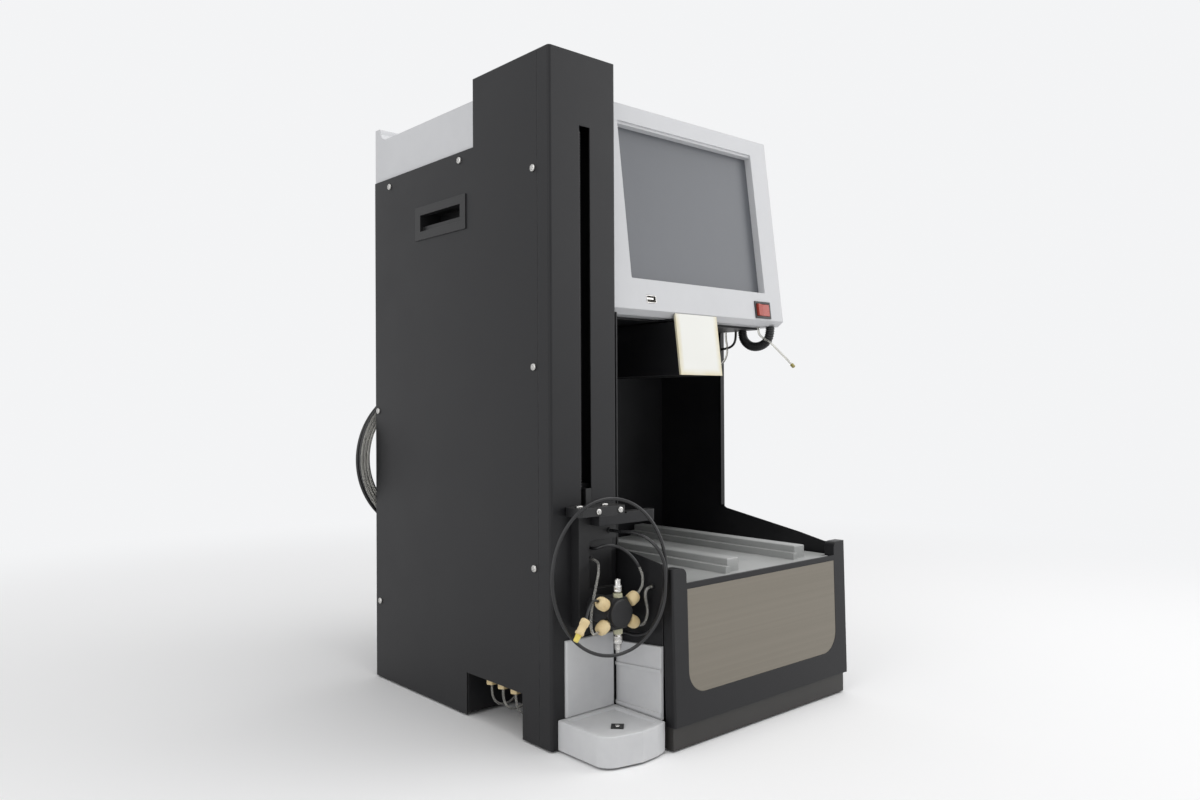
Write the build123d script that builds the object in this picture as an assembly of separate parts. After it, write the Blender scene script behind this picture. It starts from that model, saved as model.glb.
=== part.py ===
from build123d import *
import math
import os

# Flash chromatography system, free standing on a bench.
# Lengths in millimetres, angles in degrees, +Z up, front towards -Y.
# While building, X is measured from the left side, Y from the face of the tower.
# The finished pieces are moved so that the middle of the footprint is the origin.

# Overall sizes
width = 365.5
# Half way from the tip of the port on the left to the screw heads on the right
middle_x = 176.75
cabinet_depth = 340.0
cabinet_height = 597.0
tower_step = 71.0
tower_height = cabinet_height + tower_step
tower_width = 84.5
tower_depth = 127.5
sheet = 1.5
panel_gap = 1.5
running_gap = 0.3

# Base pan and feet
foot_height = 4.0
foot_radius = 9.0
pan_flange = 16.0
niche_front = 45.5
niche_back = 143.5
niche_top = 46.0
niche_depth = 60.0

# Tower cover with the slot of the column arm
cover_return = 18.2
cover_radius = 3.0
slot_left = 37.3
slot_width = 13.6
slot_bottom = 212.0
slot_top = tower_height - 70.0

# Fraction bay
bay_back = 213.0
bay_front = 63.5
bay_wall_rear_height = 185.3
bay_wall_front_height = 175.1
side_wall_step_y = 102.0
side_wall_step_z = 195.0
side_wall_low_z = 167.5
side_wall_bend_y = 14.9
side_wall_bend_z = 175.5
ceiling_z = cabinet_height - 176.7

# Fascia below the bay
fascia_front = 79.5
fascia_height = 148.5
fascia_bottom = 23.5
fascia_lean = 1.35
fascia_wall = 3.0
post_left = 19.5
post_right = 20.8
post_radius = 7.0
rail_top = 129.8
rail_lip = 3.7
rail_lip_depth = 2.4
plate_bottom = 27.5
plate_top = 127.8
plate_radius = 23.0
plate_thickness = 1.2
skirt_front = 75.5
skirt_inset = 3.1

# Rack tray
tray_surface = 155.0
tray_edge = 157.0
tray_front = 73.2
tray_back = 205.0
tray_wall = 2.4
tray_clearance = 1.6
rib_height = 14.0
rib_width = 17.5
rib_step = 7.0
rib_lefts = (184.0, 303.4)
rib_fronts = (66.0, 61.0)

# Display housing
lean = 7.2
face_y = 8.0
face_z = ceiling_z + 5.8
housing_wall = 3.0
bevel_depth = 8.0
screen_left = 118.0
screen_right = 336.0
screen_low = 33.0
screen_high = 200.0
screen_depth = 6.0
screen_step = 3.0
screen_glass = 3.0
lcd_thickness = 12.0
usb_x = 144.0
usb_slope = 12.0
usb_width = 14.0
usb_height = 8.0
rocker_x = 328.0
rocker_slope = 12.0
rocker_width = 22.0
rocker_height = 14.0
rocker_tilt = 6.0
rocker_pin_depth = 5.5

# Top cover
cover_top = cabinet_height + 49.6
lip_top = cover_top + 15.4
lip_width = 11.4
lip_overhang = 2.0
cover_wall = 3.0
dip_radius = 14.0

# Collector arm and its gantry
arm_left = 178.0
arm_width = 66.5
arm_bottom = ceiling_z - 61.3
arm_back = 196.0
arm_wall = 2.5
arm_top = ceiling_z - 3.8
arm_side = 1.75
face_plate = 2.5
gantry_plate_thickness = 2.6
gantry_plate_left = 95.0
gantry_plate_right = 355.0
gantry_plate_front = 36.0
rod_radius = 5.0
rod_ys = (116.0, 184.0)
rod_z = ceiling_z - 12.3
rod_clearance = 0.05
boss_radius = 8.0
head_y = 171.0
head_rail_radius = 3.0
head_rail_x = 196.0
head_rail_z = arm_bottom + 13.0
nozzle_radius = 3.5
nozzle_drop = 14.0

# Belt drive of the collector arm
pulley_radius = 10.0
pulley_width = 6.0
pulley_flange = 1.0
pulley_left = 99.5
pulley_right = 345.0
belt_z = ceiling_z - 42.3
belt_thickness = 1.2
belt_y = 202.0
motor_size = 42.0
motor_length = 38.0
shaft_radius = 2.5

# Valve panel and valve
panel_left = 25.0
panel_right = 73.5
panel_low = 115.0
panel_high = 221.0
panel_depth = 11.4
recess_left = 38.0
recess_low = 150.0
recess_high = 197.0
recess_floor = 4.0
valve_x = 46.4
valve_z = 132.2
port_y = 42.0
valve_flat = 14.5
valve_neck = 13.0
valve_head_length = 18.0
cap_radius = 13.5
cap_thickness = 3.2
rotor_radius = 9.0
rotor_length = 5.0
rotor_shaft = 4.0
shaft_clearance = 0.08
nut_radius = 6.2
nut_length = 12.4
nut_stem = 3.0
steel_collar = 4.7

gland_x = 74.5
gland_z = 106.0
gland_length = 1.6
gland_radius = 2.8
side_gland_y = 50.0
side_gland_z = 153.0

# Column arm
block_left = 16.0
block_right = 75.0
block_front = 24.0
block_low = 221.6
block_high = 230.0
arm_bar_left = 40.0
arm_bar_right = 115.0
arm_bar_low = 212.0
arm_bar_depth = 12.0
arm_travel = 350.0
channel_left = 24.0
channel_width = 42.0
channel_depth = 32.0
channel_low = 200.0
channel_high = tower_height - 28.0
guide_x = 47.0
guide_y = 20.0
guide_radius = 4.0
rack_pitch = 2.8
rack_tooth = 1.4

# Drip tray and splash guards
drip_left = 7.5
drip_width = 72.5
drip_depth = 76.0
drip_low = 2.0
drip_high = 30.0
drip_radius = 17.0
drip_wall = 2.2
drain_x = 41.7
drain_y = 45.9
guard_thickness = 3.0
guard_left = 16.0
guard_width = 61.0
guard_top = 103.0

# Handles and screws
handle_front = 141.0
handle_back = 243.0
handle_low = cabinet_height - 83.0
handle_high = cabinet_height - 46.0
handle_flange = 8.0
handle_depth = 28.0
handle_lip = 1.2
screw_radius = 3.6
screw_height = 2.2
screw_top = 10.1
screw_front = 24.8
screw_rear = 7.0
screw_level = 321.0
screw_low = 92.7

# Tubes and cords
loop_radius = 1.6
loop_x = 26.8
loop_y = 52.6
loop_z = 170.0
loop_half_width = 57.5
loop_half_height = 71.5
loop_turn = 19.0
loop_pitch = 4.6
clear_radius = 1.3
loom_radius = 5.5
lead_radius = 1.5
side_plane = 352.0
loom_front = 17.0
loom_back = 60.0
lead_start = 70.5
collect_inset = 6.0
collect_start = 82.0
waste_start = 28.0
coil_x = 77.0
coil_z = 262.0
coil_size = 98.0
coil_inner = 80.0
coil_depth = 22.0
coil_tube = 2.2

# Rear panel
fan_x = 110.0
fan_z = cabinet_height - 117.0
fan_size = 80.0
fan_depth = 25.0
blade_count = 7
grille_pitch = 7.0
grille_slot = 3.6
vent_low = cabinet_height - 167.0
vent_high = cabinet_height - 97.0
fitting_xs = (150.0, 172.0, 194.0, 216.0)
fitting_z = 150.0
fitting_length = 12.0
inlet_x = 300.0
inlet_z = 62.0

# Modules inside
module_gap = 28.0
board_gap = 20.0


def block(x0, x1, y0, y1, z0, z1):
    """Box between two corners."""
    middle = Pos((x0 + x1) / 2, (y0 + y1) / 2, (z0 + z1) / 2)
    return middle * Box(x1 - x0, y1 - y0, z1 - z0)


def side_plate(points, x0, x1):
    """Outline given in Y and Z, extruded along X."""
    face = make_face(Polyline(*points, close=True))
    return Pos(x0, 0, 0) * extrude(Plane.YZ * face, amount=x1 - x0)


def front_plate(points, y0, y1):
    """Outline given in X and Z, extruded along Y."""
    face = make_face(Polyline(*points, close=True))
    return Pos(0, y1, 0) * extrude(Plane.XZ * face, amount=y1 - y0)


def rounded_front(x0, x1, z0, z1, radius, y0, y1):
    """Rectangle with rounded corners in X and Z, extruded along Y."""
    face = Pos((x0 + x1) / 2, (z0 + z1) / 2) * RectangleRounded(x1 - x0, z1 - z0, radius)
    return Pos(0, y1, 0) * extrude(Plane.XZ * face, amount=y1 - y0)


def rod_x(radius, x0, x1, y, z):
    return Pos((x0 + x1) / 2, y, z) * Rot(0, 90, 0) * Cylinder(radius, x1 - x0)


def rod_y(radius, y0, y1, x, z):
    return Pos(x, (y0 + y1) / 2, z) * Rot(90, 0, 0) * Cylinder(radius, y1 - y0)


def rod_z_axis(radius, z0, z1, x, y):
    return Pos(x, y, (z0 + z1) / 2) * Cylinder(radius, z1 - z0)


def route_radii(points):
    """Arc at each inner point, as large as its two runs allow."""
    radii = []
    for before, here, after in zip(points, points[1:], points[2:]):
        first = Vector(*here) - Vector(*before)
        second = Vector(*after) - Vector(*here)
        turn = math.radians(first.get_angle(second))
        shorter = min(first.length, second.length)
        radii.append(0.45 * shorter / math.tan(turn / 2))
    return radii


def tube(name, points, radius):
    """Round cord or tube along straight runs joined by tangent arcs."""
    radii = route_radii(points)
    path = FilletPolyline(*points, radius=radii)
    section = Plane(origin=path @ 0, z_dir=path % 0) * Circle(radius)
    solid = sweep(section, path=path)
    expected = math.pi * radius * radius * path.length
    print(name, "length", round(path.length, 1), "volume ratio",
          round(solid.volume / expected, 4), "radii", [round(r, 1) for r in radii])
    return solid


def solids(*pieces):
    """Separate pieces of one node."""
    found = []
    for piece in pieces:
        found.extend(piece.solids())
    return Compound(children=found)


# Place on the leaning face of the display, with X along it and Y up its slope
lean_sin = math.sin(math.radians(lean))
lean_cos = math.cos(math.radians(lean))
face_plane = Plane(origin=(0, face_y, face_z), x_dir=(1, 0, 0), z_dir=(0, -lean_cos, lean_sin))


def face_line(z):
    """Y of the display's front plane at a height."""
    return face_y + (z - face_z) * math.tan(math.radians(lean))


def on_face(x, slope, wide, high, start, end, radius=0.0):
    """Block on the display's face, from a depth to another, outward positive."""
    shape = RectangleRounded(wide, high, radius) if radius else Rectangle(wide, high)
    face = Pos(x, slope, start) * shape
    return extrude(face_plane * face, dir=face_plane.z_dir, amount=end - start)


def base_pan():
    left = sheet
    right = width - sheet
    back = cabinet_depth - sheet
    front = 2 * sheet
    main = Pos((left + right) / 2, (front + back) / 2) * Rectangle(right - left, back - front)
    bay_left = tower_width + sheet
    bay = Pos((bay_left + right) / 2, (front - bay_front) / 2)
    bay = bay * Rectangle(right - bay_left, front + bay_front)
    cut_right = left + niche_depth
    cut = Pos(cut_right / 2, (niche_front + niche_back) / 2)
    cut = cut * Rectangle(cut_right, niche_back - niche_front)
    outline = main + bay - cut
    inner = offset(outline, amount=-sheet, kind=Kind.INTERSECTION)
    pan = extrude(outline, amount=pan_flange) - Pos(0, 0, sheet) * extrude(inner, amount=pan_flange)
    return Pos(0, 0, foot_height) * pan


def rubber_feet():
    places = [(22, 22), (22, cabinet_depth - 22), (width - 22, cabinet_depth - 22),
              (width - 22, -bay_front + 22), (tower_width + 24, -bay_front + 22)]
    feet = []
    for x, y in places:
        foot = Pos(x, y, foot_height / 2) * Cone(foot_radius - 1.0, foot_radius, foot_height)
        feet.append(foot)
    return solids(*feet)


def niche():
    """Recess at the foot of the left side with the inlet fittings in its roof."""
    low = foot_height
    right = sheet + niche_depth
    body = block(sheet, right, niche_front, niche_back, low, niche_top + sheet)
    room = block(0, right - sheet, niche_front + sheet, niche_back - sheet, 0, niche_top)
    holes = [rod_z_axis(3.1, niche_top - 1, niche_top + 3, 10.5, y) for y in niche_fitting_ys]
    return body - room - holes


niche_fitting_ys = (70.5, 92.5, 112.5)


def niche_fittings():
    pieces = []
    for y in niche_fitting_ys:
        hexagon = extrude(RegularPolygon(6.0, 6), amount=7.0)
        body = Pos(10.5, y, niche_top - 7.0) * hexagon
        body = body + rod_z_axis(3.0, niche_top - 0.1, niche_top + 8, 10.5, y)
        pieces.append(body)
    return solids(*pieces)


def niche_tube(index):
    y = niche_fitting_ys[index]
    start = niche_top - 7.0
    points = [(10.5, y, start), (10.5, y, start - 8), (13.5, y + 1, start - 17),
              (21, y + 3, start - 24), (32, y + 5, start - 27), (43, y + 6, start - 24),
              (50, y + 6, start - 15), (sheet + niche_depth - sheet - 3, y + 6, start - 9)]
    points = points[:-1]
    return tube("niche_tube_%d" % (index + 1), points, 1.2)


def left_side_panel():
    seam = cover_return + running_gap
    top = tower_height
    step = cabinet_height
    back = cabinet_depth - sheet
    panel = side_plate([(seam, panel_gap), (niche_front, panel_gap), (niche_front, niche_top),
                        (niche_back, niche_top), (niche_back, panel_gap), (back, panel_gap),
                        (back, step), (tower_depth, step), (tower_depth, top), (seam, top)],
                       0, sheet)
    return panel - handle_window(-1, sheet + 1)


def handle_window(x0, x1):
    edge = handle_flange
    return block(x0, x1, handle_front + edge, handle_back - edge,
                 handle_low + edge - 1, handle_high - edge + 5)


def handle_cup():
    """Recessed carrying handle of the left side, seated in the panel's window."""
    edge = handle_flange
    flange = block(-handle_lip, 0, handle_front, handle_back, handle_low, handle_high)
    y0 = handle_front + edge + running_gap
    y1 = handle_back - edge - running_gap
    z0 = handle_low + edge - 1 + running_gap
    z1 = handle_high - edge + 5 - running_gap
    cup = block(0, handle_depth, y0, y1, z0, z1)
    wall = 2.0
    room = block(-handle_lip - 1, handle_depth - wall, y0 + wall, y1 - wall, z0 + wall, z1 - wall)
    ledge = block(3.0, handle_depth, y0, y1, z0, z0 + 8.0)
    front_bar = block(-handle_lip, 6.0, y0, y1, z1 - 6.0, z1)
    return (flange + cup - room) + ledge + front_bar


def right_handle_cup():
    return mirror(handle_cup(), about=Plane.YZ.offset(width / 2))


def tower_front_cover():
    """Folded front of the tower with the long slot of the column arm."""
    depth = tower_depth - sheet
    outer = Pos(tower_width / 2, depth / 2) * Rectangle(tower_width, depth)
    inner = Pos(tower_width / 2, depth / 2 + sheet) * Rectangle(tower_width - 2 * sheet, depth)
    outer = fillet(outer.vertices().sort_by(Axis.Y)[:2], radius=cover_radius)
    inner = fillet(inner.vertices().sort_by(Axis.Y)[:2], radius=cover_radius - sheet)
    trim = Pos(0, cover_return + depth / 2) * Rectangle(4 * sheet, depth)
    folded = outer - inner - trim
    cover = Pos(0, 0, panel_gap) * extrude(folded, amount=tower_height - panel_gap)
    slot = block(slot_left, slot_left + slot_width, -1, sheet + 1, slot_bottom, slot_top)
    shaft_hole = rod_y(rotor_shaft + 1, -1, sheet + 1, valve_x, valve_z)
    tube_hole = rod_y(loop_radius + 1, -1, sheet + 1, gland_x, gland_z)
    pan_room = block(2 * sheet, tower_width + 1, sheet + running_gap, tower_depth,
                     0, foot_height + pan_flange + running_gap)
    return cover - slot - shaft_hole - tube_hole - pan_room


def tower_cap():
    top = block(sheet, tower_width - sheet, sheet, tower_depth,
                tower_height - sheet, tower_height)
    rear = block(sheet, tower_width, tower_depth - sheet, tower_depth,
                 cabinet_height, tower_height - sheet)
    return top + rear


def guide_channel():
    """Channel behind the slot that holds the rack strip and the guide rod."""
    right = channel_left + channel_width
    body = block(channel_left, right, sheet, channel_depth, channel_low, channel_high)
    room = block(channel_left + sheet, right - sheet, 0, channel_depth - sheet,
                 channel_low + sheet, channel_high - sheet)
    hole = rod_z_axis(guide_radius + shaft_clearance, channel_low - 1, channel_high + 1,
                      guide_x, guide_y)
    return body - room - hole


def guide_rod():
    return rod_z_axis(guide_radius, channel_low - 2, channel_high + 2, guide_x, guide_y)


def rack_strip():
    """Toothed strip beside the slot, into which the column arm latches."""
    left = channel_left + sheet
    root = slot_left + 3.8
    low = slot_bottom - 2
    count = int((slot_top - slot_bottom) / rack_pitch)
    points = [(left, low), (root, low)]
    for i in range(count):
        z = low + 1 + i * rack_pitch
        points.append((root, z))
        points.append((root + rack_tooth, z + 0.25 * rack_pitch))
        points.append((root, z + 0.5 * rack_pitch))
    high = low + 1 + count * rack_pitch
    points.append((root, high))
    points.append((left, high))
    return front_plate(points, sheet + 2.5, sheet + 5.0)


def column_carriage():
    """Block in front of the slot with its tongue and guide shoe behind."""
    face = Pos((block_left + block_right) / 2, -(block_front + 0.5) / 2)
    face = face * RectangleRounded(block_right - block_left, block_front - 0.5, 4.0)
    head = Pos(0, 0, block_low) * extrude(face, amount=block_high - block_low)
    tongue_left = slot_left + 6.2
    tongue = block(tongue_left, slot_left + slot_width - 0.5, -1.0, guide_y,
                   block_low, block_high + 16)
    tongue = tongue - block(0, width, -2, -0.4, block_high, block_high + 17)
    shoe = block(guide_x - 10, guide_x + 10, 9.5, 29.5, block_low, block_high + 20)
    bore = rod_z_axis(guide_radius + shaft_clearance, 0, tower_height, guide_x, guide_y)
    return head + tongue + shoe - bore


def column_arm():
    """Bar that carries the column, bolted below the block."""
    high = block_low
    bar = block(arm_bar_left, arm_bar_right, -block_front, -block_front + arm_bar_depth,
                arm_bar_low, high)
    boss = block(block_right + 0.5, arm_bar_right, -block_front,
                 -block_front + arm_bar_depth, high, high + 1.4)
    bar = bar + boss
    hole_x = arm_bar_right - 7
    hole = rod_z_axis(2.6, arm_bar_low - 1, high + 3, hole_x, -block_front + arm_bar_depth / 2)
    edges = bar.edges().filter_by(Axis.Z).sort_by(Axis.X)[-2:]
    return fillet(edges, radius=4.0) - hole


def carriage_screws():
    pieces = [rod_z_axis(screw_radius, block_high, block_high + screw_height, x, -12)
              for x in (block_left + 9, guide_x + 10)]
    for x in (guide_x - 8, guide_x + 20):
        pieces.append(rod_y(screw_radius - 0.6, -block_front - 1.6, -block_front,
                            x, block_low + 4.2))
    return solids(*pieces)


def valve_panel():
    """Moulded panel on the tower with a recess beside the two bare label fields."""
    front = -panel_depth
    body = block(panel_left, panel_right, front, 0, panel_low, panel_high)
    recess = rounded_front(recess_left, panel_right + 20, recess_low, recess_high, 5.0,
                           front - 1, -recess_floor)
    wall = 2.0
    strip_room = block(panel_left + wall, recess_left - wall, front + wall, 1,
                       panel_low + wall, panel_high - wall)
    top_room = block(panel_left + wall, panel_right - wall, front + wall, 1,
                     recess_high + wall, panel_high - wall)
    low_room = block(panel_left + wall, panel_right - wall, front + wall, 1,
                     panel_low + wall, recess_low - wall)
    shaft_hole = rod_y(rotor_shaft + 1, front - 1, 1, valve_x, valve_z)
    return body - recess - strip_room - top_room - low_room - shaft_hole


def valve_head_front():
    return -port_y - valve_head_length * 0.2


def valve_body():
    """Ported body with six flats on a round neck."""
    front = valve_head_front()
    back = front + valve_head_length
    hexagon = RegularPolygon(valve_flat, 6, major_radius=False)
    flats = Pos(valve_x, back, valve_z) * extrude(Plane.XZ * hexagon, amount=valve_head_length)
    neck = rod_y(valve_neck, back, -panel_depth, valve_x, valve_z)
    cavity = rod_y(rotor_radius + running_gap, front - 1, front + rotor_length + 0.6,
                   valve_x, valve_z)
    bore = rod_y(rotor_shaft + shaft_clearance, front, 0, valve_x, valve_z)
    return flats + neck - cavity - bore


def valve_cap():
    front = valve_head_front()
    cap = rod_y(cap_radius, front - cap_thickness, front, valve_x, valve_z)
    return fillet(cap.edges().group_by(Axis.Y)[0], radius=1.6)


def valve_rotor():
    """Grooved disc on the shaft of the valve drive."""
    front = valve_head_front() + running_gap
    disc = rod_y(rotor_radius, front, front + rotor_length, valve_x, valve_z)
    groove = Pos(valve_x, front, valve_z) * Rot(90, 0, 0) * Torus(rotor_radius - 3, 0.7)
    shaft = rod_y(rotor_shaft, front + rotor_length, sheet + 10, valve_x, valve_z)
    return disc - groove + shaft


def valve_motor():
    side = motor_size / 2
    body = block(valve_x - side + 3, valve_x + side - 3, sheet, sheet + 36,
                 valve_z - side + 3, valve_z + side - 3)
    bore = rod_y(rotor_shaft + shaft_clearance, 0, sheet + 10.5, valve_x, valve_z)
    return fillet(body.edges().filter_by(Axis.Y), radius=4.0) - bore


def radial(profile_points, angle):
    """Turned piece on a port of the valve, profile as radius and distance."""
    face = make_face(Polyline(*profile_points, close=True))
    turned = revolve(Plane.XZ * face, axis=Axis.Z)
    place = Pos(valve_x, -port_y, valve_z) * Rot(0, 90 - angle, 0)
    return place * turned


def finger_nuts():
    """Finger-tight nuts on the four slanting ports."""
    root = valve_flat
    end = root + 1.5 + nut_length
    r = nut_radius
    shape = [(0, root), (nut_stem, root), (nut_stem, root + 1.5), (r - 2.4, root + 1.5),
             (r - 0.7, root + 2.6), (r, root + 4.6), (r, end - 3.6), (r - 0.8, end - 1.4),
             (r - 2.6, end), (0, end)]
    return solids(*[radial(shape, angle) for angle in (30, 150, 210, 330)])


def steel_fittings():
    """Steel unions on the upper and lower ports."""
    root = valve_flat
    c = steel_collar
    upper = [(0, root), (c, root), (c, root + 4), (3.4, root + 4), (3.4, root + 5.5),
             (4.0, root + 5.5), (4.0, root + 11), (2.9, root + 11.6), (2.9, root + 17),
             (0, root + 17)]
    lower = [(0, root), (c, root), (c, root + 5), (3.6, root + 5), (3.6, root + 7),
             (4.3, root + 7), (4.3, root + 14), (3.1, root + 14.6), (3.1, root + 20),
             (2.1, root + 20.6), (2.1, root + 24), (0, root + 24)]
    return solids(radial(upper, 90), radial(lower, 270))


def port_end(angle):
    """Point at the outer end of a nut and the outward direction."""
    reach = valve_flat + 1.5 + nut_length
    c = math.cos(math.radians(angle))
    s = math.sin(math.radians(angle))
    return Vector(valve_x + reach * c, -port_y, valve_z + reach * s), Vector(c, 0, s)


def luer_fitting():
    """Syringe port hung from the upper left nut on a short bent stem."""
    end, away = port_end(150)
    top = Vector(0.7, -50, 134.4)
    tip = Vector(-12.2, -50, 116.7)
    axis = (tip - top).normalized()
    first = end + away * 6
    second = top - axis * 7
    points = [tuple(end), tuple(first), tuple(second), tuple(top)]
    stem = tube("luer_stem", points, 1.3)
    plane = Plane(origin=top, z_dir=axis)
    profile = [(0, 0), (3.6, 0), (4.4, 1.2), (4.4, 6), (3.7, 7), (3.7, 12), (4.2, 13),
               (4.2, 15), (2.8, 16), (2.4, 22), (0, 22)]
    shape = revolve(Plane.XZ * make_face(Polyline(*profile, close=True)), axis=Axis.Z)
    return solids(stem, plane.location * shape)


def tube_glands():
    """Small collars where tubes leave the tower, the panel and the bay wall."""
    places = [(gland_x, 0.0, gland_z), (44, -recess_floor, 189), (46, -recess_floor, 178),
              (64, -panel_depth, 205)]
    rings = [rod_y(gland_radius, y - gland_length, y, x, z) for x, y, z in places]
    rings.append(rod_x(gland_radius, tower_width - gland_length, tower_width,
                       -side_gland_y, side_gland_z))
    return solids(*rings)


def loop_point(angle):
    """Corner of the loop's route on its own slanting oval."""
    a = math.radians(angle)
    yaw = math.radians(loop_turn)
    across = loop_half_width / 0.967 * math.cos(a)
    forward = loop_pitch * (angle + 30) / 360
    return (loop_x + across * math.cos(yaw), -loop_y - across * math.sin(yaw) - forward,
            loop_z + loop_half_height / 0.967 * math.sin(a))


def sample_loop():
    """Black tube with one large loop in front of the valve panel."""
    points = [(gland_x, -gland_length, gland_z), (gland_x, -18, gland_z),
              (gland_x + 1, -38, gland_z - 1), (gland_x + 1.5, -56, gland_z + 7)]
    points += [loop_point(angle) for angle in range(-30, 331, 30)]
    points += [(77.0, -76.0, 172.0), (73.5, -72.5, 190.0), (69.0, -61.0, 201.5),
               (66.0, -46.0, 206.0), (64.0, -31.0, 205.4),
               (64.0, -panel_depth - gland_length - 8, 205.0),
               (64.0, -panel_depth - gland_length, 205.0)]
    return tube("sample_loop", points, loop_radius)


def tube_a():
    end, away = port_end(30)
    near = end + away * 5.5
    points = [(44, -recess_floor - gland_length, 189), (44, -14, 189), (50, -22, 193.5), (62, -29, 191),
              (73, -36, 180), (79.0, -41.5, 166), (79.6, -42, 156.5),
              tuple(near), tuple(end)]
    return tube("valve_tube_upper", points, clear_radius)


def tube_b():
    end, away = port_end(210)
    near = end + away * 5
    points = [(46, -recess_floor - gland_length, 178), (46, -14, 178), (40.5, -22.5, 172),
              (33, -28, 161), (26, -31.5, 148.5), (19.5, -35.5, 136.5), (14.8, -39.5, 126.5),
              (14.0, -42, 119.5), tuple(near), tuple(end)]
    return tube("valve_tube_lower", points, clear_radius)


def tube_c():
    end, away = port_end(330)
    near = end + away * 5
    points = [tuple(end), tuple(near), (79.3, -43.5, 117.2), (81.0, -45.5, 122.5),
              (80.4, -47.5, 129.5), (77.4, -49, 137.5), (74.6, -50, 144.6),
              (75.0, -50, 149.6), (78.4, -50, side_gland_z),
              (tower_width - gland_length, -side_gland_y, side_gland_z)]
    return tube("valve_tube_side", points, clear_radius)


def drip_tray():
    """Removable tray with a sloping floor, open top and a drain."""
    x0 = drip_left
    x1 = drip_left + drip_width
    outline = Polyline((x0, -0.4), (x1, -0.4), (x1, -drip_depth + 6), (x1 - 14, -drip_depth + 1.5),
                       (x1 - 34, -drip_depth), (x0, -drip_depth + 9), close=True)
    face = make_face(outline)
    front = face.vertices().sort_by(Axis.X)[:2].sort_by(Axis.Y)[0]
    face = fillet([front], radius=drip_radius)
    body = Pos(0, 0, drip_low) * extrude(face, amount=drip_high - drip_low)
    body = fillet(body.edges().group_by(Axis.Z)[-1], radius=1.2)
    inner = offset(face, amount=-6.0, kind=Kind.INTERSECTION)
    basin = Pos(0, 0, drip_high) * extrude(inner, amount=-2.5, taper=20)
    under = offset(face, amount=-drip_wall, kind=Kind.INTERSECTION)
    under = Pos(0, 0, drip_low - 1) * extrude(under, amount=drip_high - drip_low - 6.5)
    drain = rod_z_axis(4.0, drip_low, drip_high, drain_x, -drain_y)
    return body - basin - under - drain


def drain_insert():
    """Square strainer set diagonally in the drain."""
    low = drip_high - 2.5
    frame = Pos(drain_x, -drain_y, low) * Rot(0, 0, 45) * extrude(Rectangle(12, 12), amount=1.0)
    holes = [rod_z_axis(0.9, low - 1, low + 2, drain_x + x, -drain_y + y)
             for x, y in ((0, 0), (2.6, 0), (-2.6, 0), (0, 2.6), (0, -2.6))]
    stem = rod_z_axis(3.9, low - 4, low, drain_x, -drain_y) - rod_z_axis(2.9, 0, low, drain_x, -drain_y)
    return frame - holes + stem


def splash_guard_left():
    right = guard_left + guard_width
    plate = block(guard_left, right, -guard_thickness, 0, drip_high + 0.4, guard_top)
    face = plate.faces().sort_by(Axis.Y)[0]
    plate = fillet(face.edges(), radius=1.2)
    return plate


def splash_guard_right():
    """Moulded guard on the bay wall with a rounded ridge and a groove."""
    x1 = tower_width
    low = drip_high - 1
    plate = side_plate([(-1.0, low), (-1.0, 92.5), (-bay_front - 0.5, 98.0),
                        (-bay_front - 0.5, low)], x1 - guard_thickness, x1)
    ridge = side_plate([(-1.0, 69.0), (-1.0, 72.0), (-bay_front - 0.5, 76.5),
                        (-bay_front - 0.5, 73.0)], x1 - guard_thickness - 1.4,
                       x1 - guard_thickness)
    foot = side_plate([(-1.0, low + 2), (-1.0, 34.0), (-bay_front - 0.5, 35.5),
                       (-bay_front - 0.5, low + 2)], x1 - guard_thickness - 1.2,
                      x1 - guard_thickness)
    foot = foot - block(0, x1 - guard_thickness, -drip_depth, 1, low, drip_high + 0.4)
    return plate + ridge + foot


def bay_left_wall():
    x0 = tower_width
    wall = side_plate([(-bay_front, panel_gap), (-bay_front, bay_wall_front_height),
                       (-32.8, 180.4), (0, bay_wall_rear_height), (0, ceiling_z),
                       (bay_back, ceiling_z), (bay_back, foot_height + pan_flange),
                       (0, foot_height + pan_flange), (0, panel_gap)], x0, x0 + sheet)
    hole = rod_x(clear_radius + 1, x0 - 1, x0 + 3, -side_gland_y, side_gland_z)
    return wall - hole


def right_side_panel():
    back = cabinet_depth - sheet
    step_y = side_wall_step_y
    profile = [(-bay_front, panel_gap), (back, panel_gap), (back, cabinet_height),
               (step_y, cabinet_height), (step_y, side_wall_step_z + 2),
               (step_y - 3.6, side_wall_step_z), (-side_wall_bend_y, side_wall_bend_z),
               (14.8 - bay_front, side_wall_low_z + 0.9), (-bay_front, side_wall_low_z)]
    x0 = width - sheet
    panel = side_plate(profile, x0, width)
    lip = block(x0 - 5, x0, step_y, step_y + sheet, side_wall_step_z + 4, ceiling_z)
    edge = handle_flange
    window = block(x0 - 1, width + 1, handle_front + edge, handle_back - edge,
                   handle_low + edge - 1, handle_high - edge + 5)
    return panel + lip - window


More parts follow.
